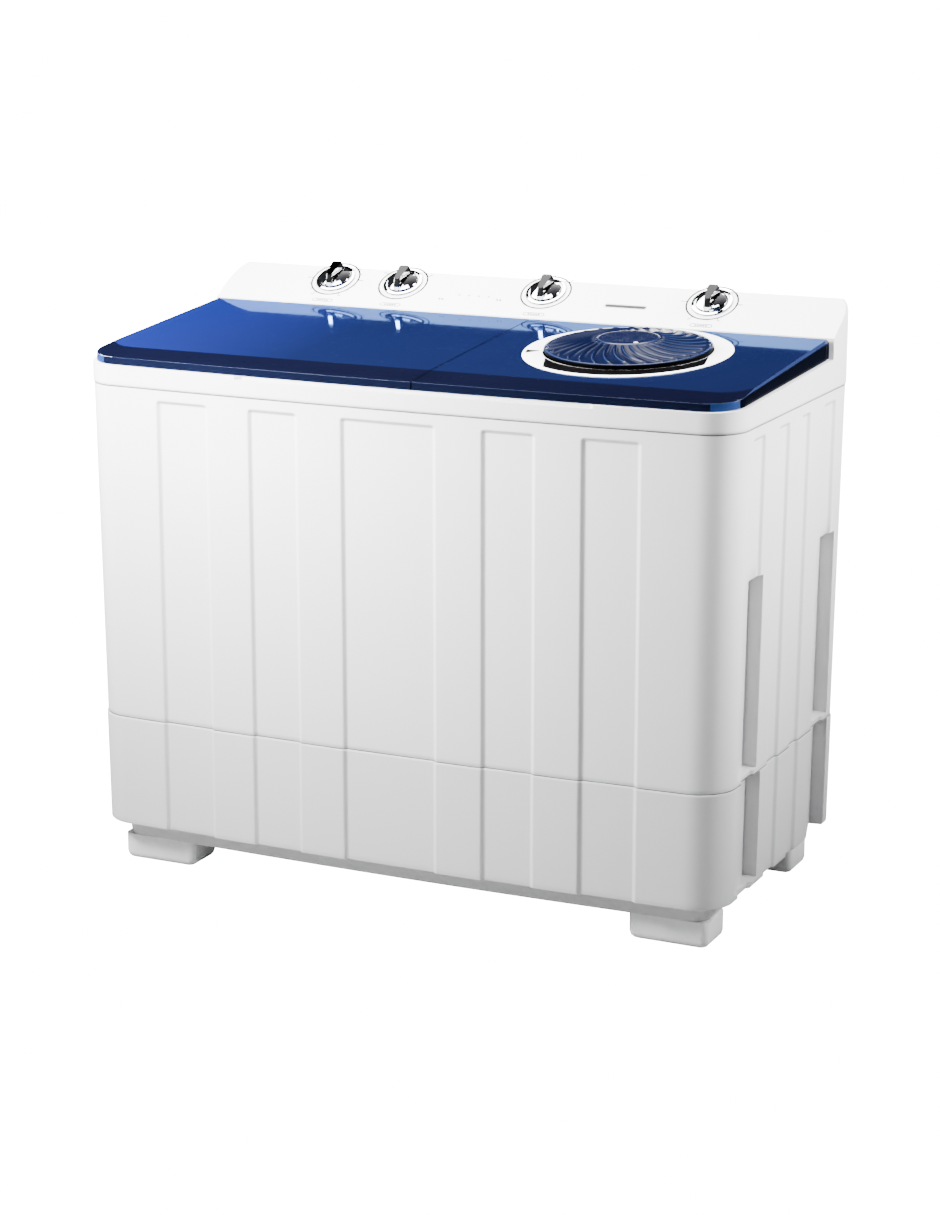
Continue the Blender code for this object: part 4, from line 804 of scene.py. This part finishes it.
def make_vent_ring():
    inner, high = DIAL_RADIUS + 0.0012, 0.0015
    profile = [(inner, 0.0003), (inner, high - 0.0004), (inner + 0.0004, high), (RING_OUTER - 0.0016, high),
               (RING_OUTER - 0.0004, high - 0.0006), (RING_OUTER, 0.0003)]
    points, faces = turned_data(profile, 128, closed=True)
    riding = {"body": "spin_lid", "place": dial_matrix()}
    points = [stretch(p) for p in points]
    piece("vent_ring", (points, faces), RING_WHITE, replaces=["air_dry_ring"], **riding)
    for name, near, far, start, stop, skew in (("front", 0.0016, 0.0060, -131, -11, -9),
                                               ("side", 0.0050, 0.0050, -163, -159, 1.5)):
        steps = max(6, int((stop - start) / 2))
        outline = arc((0, 0), RING_OUTER - far, start - skew, stop + skew, steps)
        outline += arc((0, 0), inner + near, stop - skew, start + skew, steps)
        data = prism_data([stretch(p) for p in outline], high - 0.0003, high + 0.0003)
        piece("vent_ring_black_" + name, data, RING_BLACK_AND_SHADE, sharp=30, **riding)


def dial_height(r):
    """The dome's section: a flat hub, a concave flank and a low outer edge."""
    if r <= HUB_RADIUS - HUB_ROUND:
        return DIAL_HEIGHT - 0.0006 * (1 - (r / HUB_RADIUS) ** 2)
    if r <= HUB_RADIUS:
        return DIAL_HEIGHT - 0.0010 * ((r - HUB_RADIUS + HUB_ROUND) / HUB_ROUND) ** 2
    t = (r - HUB_RADIUS) / (DIAL_RADIUS - HUB_RADIUS)
    return DIAL_EDGE_HEIGHT + (DIAL_HEIGHT - 0.0010 - DIAL_EDGE_HEIGHT) * (1 - t) ** 1.9


def vane_twist(r):
    """How far a vane has swept round at a radius."""
    return VANE_SWEEP * max(0.0, (r - HUB_RADIUS) / (DIAL_RADIUS - HUB_RADIUS)) ** 1.3


def dial_row(r, count):
    """One ring of the dome, with its vanes and the hollows beside them."""
    share = min(1.0, max(0.0, (r - HUB_RADIUS - 0.001) / 0.010))
    share *= min(1.0, max(0.0, (DIAL_RADIUS - 0.004 - r) / 0.006))
    row = []
    for k in range(count):
        phase = (VANES * k / count) % 1.0
        crest = math.exp(-((phase - 0.5) / 0.11) ** 2)
        valley = -0.5 * math.exp(-((phase - 0.78) / 0.10) ** 2)
        z = dial_height(r) + share * (0.0026 * crest + 0.0016 * valley)
        if r > DIAL_RADIUS - 0.0006:
            z = 0.0068 if r < DIAL_RADIUS else 0.0058
        row.append((*polar(r, 2 * math.pi * k / count + vane_twist(r)), z))
    return row


def dial_finish(r, z, angle, upward):
    phase = (VANES * (angle - vane_twist(r)) / (2 * math.pi)) % 1.0
    # The dome's low outer wall and underside are painted black as shade.
    if r > DIAL_RADIUS - 0.0005 or z < 0.0042:
        return RING_BLACK_AND_SHADE
    # Vane crests and the rounded hub and outer edges: painted highlights.
    if HUB_RADIUS + 0.004 < r < DIAL_RADIUS - 0.009 and 0.41 < phase < 0.51 and upward:
        return VANE_GLINT
    if HUB_RADIUS - 0.0018 < r < HUB_RADIUS or DIAL_RADIUS - 0.0045 < r < DIAL_RADIUS - 0.0012:
        return VANE_GLINT
    return DIAL_BLUE


def make_dial():
    count = VANES * 12
    radii = [0.012, 0.026] + [HUB_RADIUS + step for step in (-HUB_ROUND, -0.0015, 0.0, 0.0015)]
    radii += [HUB_RADIUS + 0.0015 + (DIAL_RADIUS - 0.0075 - HUB_RADIUS) * i / 20 for i in range(1, 21)]
    radii += [DIAL_RADIUS - step for step in (0.0045, 0.003, 0.0012, 0.0003, 0.0)]
    rings = [[(0, 0, dial_height(0))]] + [dial_row(r, count) for r in radii]
    for r, z in ((DIAL_RADIUS, 0.0006), (DIAL_RADIUS - 0.0025, 0.0006), (0.060, 0.0040), (0.008, 0.012),
                 (0.008, -0.006)):
        rings.append([(*polar(r, 2 * math.pi * k / count), z) for k in range(count)])
    finishes = [DIAL_BLUE, VANE_GLINT, RING_BLACK_AND_SHADE]
    dial = piece("vent_dial", stacked(rings + [[(0, 0, -0.006)]], count), finishes, body="air_dry_dial",
                 place=dial_matrix(), replaces=["air_dry_dial"], slot="dial_blue", sharp=48)
    back = dial_matrix().inverted()
    for face in dial.data.polygons:
        x, y, z = back @ face.center
        finish = dial_finish(math.hypot(x, y), z, math.atan2(y, x), face.normal.z > 0)
        face.material_index = finishes.index(finish)
    arrow = [(0.020, -0.030), (0.0265, -0.0285), (0.0215, -0.0245)]
    piece("vent_mark", prism_data(arrow, DIAL_HEIGHT - 0.0006, DIAL_HEIGHT + 0.0002), RING_WHITE,
          body="air_dry_dial", place=dial_matrix())


# ---- Control panel ----------------------------------------------------------------------------------
def make_knob(name):
    """A chromed plate with a raised rim and a faceted grip whose rear end is broader than its front."""
    body = name + "_knob"
    edge = KNOB_RADIUS
    profile = [(0.0, -0.0133), (0.004, -0.0133), (0.004, 0.0008), (edge - 0.0008, 0.0008), (edge, 0.0014),
               (edge - 0.0006, 0.0026), (edge * 0.88, 0.0036), (edge * 0.84, 0.0022), (edge * 0.80, 0.0022),
               (edge * 0.76, 0.0052), (edge * 0.60, 0.0072), (edge * 0.36, 0.0084), (0.0, 0.0088)]
    rings = []
    for z, front, front_half, rear, rear_half in ((0.003, -0.0235, 0.0064, 0.0215, 0.0090),
                                                  (0.0100, -0.0225, 0.0056, 0.0205, 0.0086),
                                                  (0.0200, -0.0150, 0.0046, 0.0180, 0.0078)):
        front_pair = [(front_half, front + 0.003), (front_half * 0.6, front)]
        rear_pair = [(rear_half, rear - 0.003), (rear_half * 0.8, rear)]
        outline = [(-x, y) for x, y in front_pair] + front_pair[::-1] + rear_pair
        rings.append([(x, y, z) for x, y in outline + [(-x, y) for x, y in reversed(rear_pair)]])
    mesh = combine(solid(turned_data(profile, 72)), "UNION", solid(loft_data(rings)))
    soften(mesh, 0.00035, 25, 2)
    obj = mesh_piece(body + "_plated", mesh, [CHROME, CHROME_DARK_REFLECTION], body=body, replaces=[body],
                     slot="knob_chrome", sharp=24)
    # The grip's top, the groove, the cup and the rim get the near-black chrome as painted dark reflections.
    for face in obj.data.polygons:
        c = face.center
        r = math.hypot(c.x, c.y)
        top = face.normal.z > 0.9 and c.z > 0.0190
        groove = c.z < 0.0030 and edge * 0.79 < r < edge * 0.86
        cup = 0.0035 < c.z < 0.0085 and r < edge * 0.70 and c.x > 0.006 and abs(c.y) < 0.013
        rim = r > edge - 0.0004 and c.z > 0
        if top or groove or cup or rim:
            face.material_index = 1
    obj.data.transform(panel_matrix(KNOB_X[name]))


def flat_mark(name, shapes, material, along, x):
    """Printed shapes on the panel; each is an outline with an optional hole."""
    low, high = -0.0002, 0.00012
    points, faces = [], []
    for outline, hole in shapes:
        if hole is None:
            own_points, own_faces = prism_data(outline, high, low)
        else:
            sections = ((outline, low), (outline, high), (hole, high), (hole, low))
            rings = [[(u, v, z) for u, v in ring] for ring, z in sections]
            own_points, own_faces = loft_data(rings, hollow=True)
        faces += [tuple(len(points) + corner for corner in face) for face in own_faces]
        points += own_points
    piece(name, (points, faces), material, place=panel_matrix(x, along), sharp=30)


def bar(u, v, width, height, angle=0.0):
    c, s = math.cos(angle), math.sin(angle)
    corners = rectangle(-width / 2, -height / 2, width / 2, height / 2)
    return [(u + a * c - b * s, v + a * s + b * c) for a, b in corners], None


def circle_band(radius, width, steps=72):
    return circle((0, 0), radius + width / 2, steps), circle((0, 0), radius - width / 2, steps)


def capsule(v, width, height, line):
    """An outline with rounded ends."""
    def ring(x, y):
        return rounded_rectangle((-x, v - y), (x, v + y), y - 0.0001, 6)

    return ring(width / 2, height / 2), ring(width / 2 - line, height / 2 - line)


def make_prints():
    for name, start, stop, count in (("wash_timer", -150, 150, 16), ("wash_mode", -60, 60, 4),
                                     ("drain", -45, 45, 3), ("spin_timer", -150, 150, 6)):
        angles = [math.radians(90 + start + (stop - start) * i / (count - 1)) for i in range(count)]
        dark = [circle_band(0.0378, 0.0026)]
        dark += [bar(*polar(0.0400, angle), 0.0040, 0.0012, angle) for angle in angles]
        flat_mark(name + "_scale", dark, PRINT, KNOB_ALONG, KNOB_X[name])
        pale = [capsule(LABEL_DROP, 0.034, 0.0072, 0.0011)]
        pale += [bar(-0.0080 + 0.0040 * i, LABEL_DROP, 0.0028, 0.0026) for i in range(5)]
        for angle in angles[::3 if count > 6 else 1]:
            u, v = polar(0.0448, angle)
            if v < 0.036:
                pale += [bar(u - 0.0014, v, 0.0014, 0.0030), bar(u + 0.0012, v, 0.0020, 0.0014)]
        flat_mark(name + "_marks", pale, PRINT_PALE, KNOB_ALONG, KNOB_X[name])
    dots = [bar(-0.100 + 0.016 * i, 0.0, 0.0028, 0.0022) for i in range(4)]
    for u, v in ((-0.128, -0.012), (-0.123, -0.012), (-0.036, -0.006), (-0.031, -0.006)):
        dots.append(bar(u, v, 0.0030, 0.0030))
    flat_mark("programme_marks", dots, PRINT_PALE, 0.042, 0.0)
    badge = (rounded_rectangle((-0.032, -0.0032), (0.032, 0.0032), 0.0031, 6), None)
    flat_mark("blank_badge", [badge, capsule(0.0, 0.067, 0.0090, 0.0004)], PRINT_PALE, 0.040, 0.167)


# ---- Insides ----------------------------------------------------------------------------------------
def make_wash_tub():
    """The tub with flutes moulded down its walls."""
    lip, shrink, fold = 0.008, 0.008, 0.012
    floor = tub_low.z
    flute_top = tub_high.z - 0.052

    def outline(inset):
        low = (tub_low.x + inset, tub_low.y + inset)
        high = (tub_high.x - inset, tub_high.y - inset)
        own = TUB_CORNER - min(inset, 0.03)
        corners = rectangle(low[0] + own, low[1] + own, high[0] - own, high[1] - own)
        points = []
        starts = (270, 0, 90, 180)
        for center, start, end in zip(corners[1:] + corners[:1], starts, corners[2:] + corners[:2]):
            points += arc(center, own, start, start + 90, 9)[:-1]
            first, last = (Vector(polar(own, math.radians(start + 90), at)) for at in (center, end))
            points += [tuple(first.lerp(last, i / 20)) for i in range(20)]
        return points

    def ring(inset, height, fluted=0.0):
        out = []
        for index, p in enumerate(outline(inset)):
            v = Vector(p)
            shift = fluted * (0.5 + 0.5 * math.cos(index * math.pi / 2))
            v += (Vector((WASH_X, WASH_Y)) - v).normalized() * shift
            out.append((v.x, v.y, height(v.y) if callable(height) else height))
        return out

    def lip_top(y):
        return rim_z(y) - WALL - GAP

    def hole(z):
        angles = [math.atan2(y - WASH_Y, x - WASH_X) for x, y in outline(0)]
        return [(*polar(DRIVE_HOLE, angle, (WASH_X, WASH_Y)), z) for angle in angles]

    thick = lip + WALL
    rings = [hole(floor), ring(lip + shrink + fold, floor), ring(lip + shrink, floor + fold),
             ring(lip, lambda y: lip_top(y) - WALL), ring(0, lambda y: lip_top(y) - WALL), ring(0, lip_top),
             ring(thick - 0.001, lip_top), ring(thick, lambda y: lip_top(y) - 0.001),
             ring(thick + 0.0002, flute_top + 0.012), ring(thick + 0.0004, flute_top, FLUTE_DEPTH)]
    for t in (0.3, 0.6, 1.0):
        rings.append(ring(thick + shrink * t, flute_top - (flute_top - floor - 0.05) * t, FLUTE_DEPTH))
    rings += [ring(thick + shrink, floor + 0.036), ring(thick + shrink, floor + fold + 0.006),
              ring(thick + shrink + 0.003, floor + WALL + 0.004),
              ring(thick + shrink + fold * 0.7, floor + WALL), hole(floor + WALL)]
    piece("wash_tub_moulded", loft_data(rings, hollow=True), TUB, replaces=["wash_tub"], slot="tub_plastic",
          sharp=40)


def make_pulsator():
    """A disc with a domed cap, three tall swept vanes and three low ones between them."""
    low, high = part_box("pulsator")
    outer = (high.x - low.x) / 2
    flat = low.z + 0.0070
    count = 180

    def swept_vane(r, angle, turn, sharpness, inner, margin, fade):
        crest = max(0.0, math.cos(3 * (angle - 0.5 * r / outer) + turn)) ** sharpness
        return crest * smooth((r - inner) / 0.02) * smooth((outer - margin - r) / fade)

    def height(r, angle):
        if r > outer - 0.001:
            return flat - (0.0008 if r < outer else 0.0028)
        tall = 0.0125 * swept_vane(r, angle, 0.0, 14, 0.015, 0.010, 0.02)
        core = 0.0045 * (1 - smooth((r - 0.018) / 0.030)) + 0.0125 * math.exp(-(r / 0.034) ** 2)
        if r < 0.021:
            return flat + core + tall + 0.0045 * (1 - smooth((r - 0.014) / 0.007))
        return flat + core + tall + 0.0050 * swept_vane(r, angle, math.pi, 24, 0.060, 0.012, 0.015)

    def ring(r, level):
        angles = [2 * math.pi * k / count for k in range(count)]
        return [(*polar(r, angle, (WASH_X, WASH_Y)), min(level(r, angle), high.z)) for angle in angles]

    radii = [0.008, 0.014, 0.018, 0.021, 0.024] + [0.024 + (outer - 0.028) * i / 22 for i in range(1, 23)]
    rings = [ring(r, height) for r in radii + [outer - 0.002, outer - 0.0006, outer]]
    top = [(WASH_X, WASH_Y, flat + 0.017 + 0.0125)]
    points, faces = stacked([top] + rings + [ring(outer, lambda r, angle: low.z)], count)
    faces.append(tuple(range(len(points) - count, len(points))))
    piece("pulsator_moulded", (points, faces), PULSATOR, body="pulsator", replaces=["pulsator"],
          slot="pulsator_plastic", sharp=45)


def make_basket():
    """The drum's wall with rows of drain holes, its rolled lip and its dished floor."""
    low, high = basket_low.z + 0.008, basket_high.z - 0.003
    columns, rows = 60, 20
    start, stop = low + 0.030, high - 0.045
    wall = BASKET_RADIUS - 0.0009
    cell_a, cell_z = 2 * math.pi / columns, (stop - start) / rows
    square = ((0, 0), (0.5, 0), (1, 0), (1, 0.5), (1, 1), (0.5, 1), (0, 1), (0, 0.5))
    points, faces = [], []
    for i in range(columns):
        for j in range(rows):
            base = len(points)
            cell = [(cell_a * (i + u), start + cell_z * (j + v)) for u, v in square]
            for u, v in square:
                turn = math.atan2(v - 0.5, u - 0.5)
                cell.append((cell_a * (i + 0.5) + BASKET_HOLE * math.cos(turn) / BASKET_RADIUS,
                             start + cell_z * (j + 0.5) + BASKET_HOLE * math.sin(turn)))
            points += [(*polar(wall, angle, (SPIN_X, SPIN_Y)), z) for angle, z in cell]
            for k in range(8):
                n = (k + 1) % 8
                faces.append((base + k, base + n, base + 8 + n, base + 8 + k))
    radius = BASKET_RADIUS
    upper = [(wall, stop), (wall, high - 0.022), (radius + 0.0003, high - 0.008), (radius, high - 0.001),
             (radius - 0.004, high + 0.0020), (radius - 0.010, high + 0.0016), (radius - 0.0145, high - 0.002),
             (radius - 0.0152, high - 0.010)]
    lower = [(0.012, low + 0.0148), (0.026, low + 0.0130), (0.034, low + 0.0032), (0.060, low + 0.0016),
             (0.080, low + 0.0024), (radius - 0.014, low + 0.0016), (radius - 0.005, low + 0.0045),
             (radius - 0.0014, low + 0.012), (wall, start)]
    for shape in (upper, lower):
        own_points, own_faces = turned_data(shape, columns * 2, center=(SPIN_X, SPIN_Y))
        faces += [tuple(len(points) + c for c in face) for face in own_faces]
        points += own_points
    obj = piece("spin_basket_pressed", (points, faces), STEEL, body="spin_basket", replaces=["spin_basket"],
                slot="steel", sharp=45)
    sheet = obj.modifiers.new("Sheet", "SOLIDIFY")
    sheet.thickness = 0.0012
    sheet.offset = 0.0


def make_filter():
    """A net in a moulded frame."""
    low, high = filter_low, filter_high
    outer = rounded_rectangle((low.x, low.z), (high.x, high.z), 0.008, 6)
    inner = rounded_rectangle((low.x + 0.009, low.z + 0.009), (high.x - 0.009, high.z - 0.014), 0.005, 6)
    sections = ((outer, high.y), (outer, low.y + 0.002), (inner, low.y), (inner, high.y))
    rings = [[(x, y, z) for x, z in outline] for outline, y in sections]
    piece("lint_filter_frame", loft_data(rings, hollow=True), PULSATOR, replaces=["lint_filter"],
          slot="pulsator_plastic")
    columns, lines = 18, 28
    points = []
    for j in range(lines + 1):
        for i in range(columns + 1):
            u, v = i / columns, j / lines
            sag = 0.006 * math.sin(math.pi * u) * math.sin(math.pi * v)
            x = low.x + 0.008 + (high.x - low.x - 0.016) * u
            z = low.z + 0.008 + (high.z - low.z - 0.021) * v
            points.append((x, low.y + (high.y - low.y) * 0.55 - sag, z))
    net = piece("lint_filter_net", (points, grid_faces(columns, lines)), MESH, slot="pulsator_plastic")
    wires = net.modifiers.new("Net", "WIREFRAME")
    wires.thickness = 0.0007
    wires.use_replace = True
    wires.use_boundary = True


def cover_relief(u, v):
    """The rear cover's height: two embossed fields with six louvres in each."""
    level = 0.0
    for side in (-1, 1):
        center = side * 0.2075
        level = max(level, 0.0016 * smooth(min(0.1775 - abs(u - center), 0.165 - abs(v)) / 0.006))
    for k in range(6):
        z = -0.060 + 0.024 * k
        reach = 0.060 - abs(abs(u) - 0.2075)
        if reach > 0 and abs(v - z) < 0.008 and v < z + 0.006:
            level += 0.0016 * smooth(reach / 0.008) * smooth((v - z + 0.008) / 0.011)
    return level


def make_rear_cover():
    """A pressed plate with embossed fields and louvres."""
    width, tall = cover_high.x - cover_low.x, cover_high.z - cover_low.z
    middle_z = (cover_low.z + cover_high.z) / 2
    wall_y = HALF_DEPTH - OVERHANG - TAPER_Y * (SEAM - middle_z)
    columns, lines = 168, 98
    points = []
    for lift in (-0.0002, 0.0018):
        for j in range(lines + 1):
            for i in range(columns + 1):
                u, v = width * (i / columns - 0.5), tall * (j / lines - 0.5)
                points.append((u, lift + cover_relief(u, v), v))
    size = (columns + 1) * (lines + 1)
    faces = grid_faces(columns, lines)
    faces += [face[:1] + face[:0:-1] for face in grid_faces(columns, lines, size)]
    border = [i for i in range(columns)] + [j * (columns + 1) + columns for j in range(lines)]
    border += [lines * (columns + 1) + i for i in range(columns, 0, -1)]
    border += [j * (columns + 1) for j in range(lines, 0, -1)]
    faces += [(a, b, b + size, a + size) for a, b in zip(border, border[1:] + border[:1])]
    lean = Matrix.Rotation(-math.atan(TAPER_Y), 4, "X")
    piece("rear_cover_pressed", (points, faces), ZINC, replaces=["rear_cover"], slot="grey_plastic",
          place=Matrix.Translation((0, wall_y + 0.0005, middle_z)) @ lean, sharp=50)


def make_screw(node):
    """A domed head with a cross recess."""
    low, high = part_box(node)
    center = (low + high) / 2
    tall = high.y - low.y
    profile = [(0.0, 0.0), (0.0038, 0.0), (0.0038, tall * 0.35), (0.0030, tall * 0.75), (0.0016, tall),
               (0.0, tall)]
    slots = [solid(prism_data(bar(0, 0, width, height)[0], tall * 0.45, tall * 2))
             for width, height in ((0.0042, 0.0008), (0.0008, 0.0042))]
    mesh = combine(solid(turned_data(profile, 32)), "DIFFERENCE", *slots)
    mesh.transform(Matrix.Translation((center.x, low.y, center.z)) @ Matrix.Rotation(-math.pi / 2, 4, "X"))
    mesh_piece(node + "_cross", mesh, STEEL, replaces=[node], slot="steel")


CAD_FINISHES = (
    (HOUSING, ("lid_hinge_bracket", "water_inlet_nozzle", "drain_outlet", "drain_valve_body",
               "air_dry_retainer")),
    (BLACK, ("cord_gland", "spin_lid_switch")), (TUB, ("spin_outer_tub",)), (GREY, ("wash_motor_pulley",)),
    (RUBBER, ("spin_motor_mount", "drive_belt", "spin_shaft_seal", "drain_pipe", "drain_valve_plunger")),
    (STEEL, ("wash_motor_shaft", "pulsator_shaft", "spin_shaft", "brake_drum", "brake_pivot_post")),
    (MOTOR, ("spin_motor", "wash_motor")))


def finish_cad_nodes():
    """The parts that keep their CAD shape get their finish, merged corners and softly rounded edges."""
    for name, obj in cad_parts.items():
        if obj.hide_render:
            continue
        matching = [finish for finish, starts in CAD_FINISHES if name.startswith(starts)]
        obj.data.materials.clear()
        obj.data.materials.append(matching[0] if matching else GREY)
        if "custom_normal" in obj.data.attributes:
            obj.data.attributes.remove(obj.data.attributes["custom_normal"])
        obj.data.shade_smooth()
        weld = obj.modifiers.new("Merge", "WELD")
        weld.merge_threshold = 0.00002
        bevel = obj.modifiers.new("Soft edges", "BEVEL")
        bevel.width = 0.0005
        bevel.segments = 2
        bevel.limit_method = "ANGLE"
        bevel.angle_limit = math.radians(32)
        bevel.harden_normals = True


make_cabinet()
make_base()
make_seam("seam_gap", BASE_SEAM - 0.0003, BASE_SEAM + GAP + 0.0008, RIB_DEPTH)
make_seam("seam_gap_upper", SEAM - GAP - 0.0006, SEAM + 0.0003, 0.0)
for foot in ("foot_front_left", "foot_front_right", "foot_rear_left", "foot_rear_right"):
    make_foot(foot)
make_frame()
make_lid("wash_lid", -HALF_WIDTH, LID_SPLIT_X - LID_GAP)
make_lid("spin_lid", LID_SPLIT_X + LID_GAP, HALF_WIDTH)
make_vent_ring()
make_dial()
for knob in KNOBS:
    make_knob(knob)
make_prints()
make_wash_tub()
make_pulsator()
make_basket()
make_filter()
make_rear_cover()
for number in (1, 2, 3, 4):
    make_screw(f"rear_cover_screw_{number}")
finish_cad_nodes()


# ---- Studio -----------------------------------------------------------------------------------------
def make_floor():
    mesh = raw_mesh("floor", ([(x, y, 0) for x, y in rectangle(-8, -8, 8, 8)], [(0, 1, 2, 3)]))
    material = bpy.data.materials.new("floor")
    material.use_nodes = True
    tree = material.node_tree
    tree.nodes.clear()
    seen = add_node(tree, "LightPath").outputs["Is Camera Ray"]
    matte = add_node(tree, "BsdfDiffuse", {"Color": (*grey(0.25), 1)}).outputs[0]
    glow = add_node(tree, "Emission", {"Color": (1, 1, 1, 1), "Strength": BACKDROP}).outputs[0]
    mixed = add_node(tree, "MixShader", {0: seen, 1: matte, 2: glow}).outputs[0]
    add_node(tree, "OutputMaterial", {"Surface": mixed})
    mesh.materials.append(material)
    link("floor", mesh)


def make_light(name, place, target, size, power, spread=180):
    data = bpy.data.lights.new(name, "AREA")
    data.spread = math.radians(spread)
    data.shape = "RECTANGLE"
    data.size, data.size_y = size
    data.energy = power
    obj = link(name, data)
    obj.location = place
    obj.rotation_euler = (Vector(target) - Vector(place)).to_track_quat("-Z", "Y").to_euler()


def make_world():
    """White behind the object, with a soft even light on it and little to mirror."""
    world = bpy.data.worlds.new("studio")
    bpy.context.scene.world = world
    world.use_nodes = True
    tree = world.node_tree
    tree.nodes.clear()
    path = add_node(tree, "LightPath").outputs
    seen, soft, mirror = [
        add_node(tree, "Background", {"Color": (*color, 1), "Strength": strength}).outputs[0]
        for color, strength in ((grey(1.0), BACKDROP), ((0.92, 0.95, 1.0), 0.32), ((0.9, 0.95, 1.0), 0.03))]
    unseen = add_node(tree, "MixShader", {0: path["Is Glossy Ray"], 1: soft, 2: mirror}).outputs[0]
    mixed = add_node(tree, "MixShader", {0: path["Is Camera Ray"], 1: unseen, 2: seen}).outputs[0]
    add_node(tree, "OutputWorld", {"Surface": mixed})


def make_camera():
    """The view of the photo, fitted to it."""
    data = bpy.data.cameras.new("camera")
    data.lens = 87.16
    data.sensor_width = 36.0
    data.shift_x = 0.01382
    data.shift_y = -0.01759
    data.dof.use_dof = False
    obj = link("camera", data)
    obj.location = (1.7619, -3.7472, 1.4138)
    obj.rotation_euler = (math.radians(90 - 13.55), 0, math.radians(25.43))
    bpy.context.scene.camera = obj


make_floor()
make_world()
make_light("key", (-0.70, -0.95, 1.32), (-0.30, -0.25, 0.82), (0.6, 0.5), 40, 88)
make_light("side", (1.8, 0.55, 1.45), (0.49, -0.02, 0.86), (0.8, 0.8), 19, 50)
make_light("top", (-0.35, 0.30, 2.30), (-0.1, 0.1, 0.8), (2.2, 1.5), 240)
make_camera()
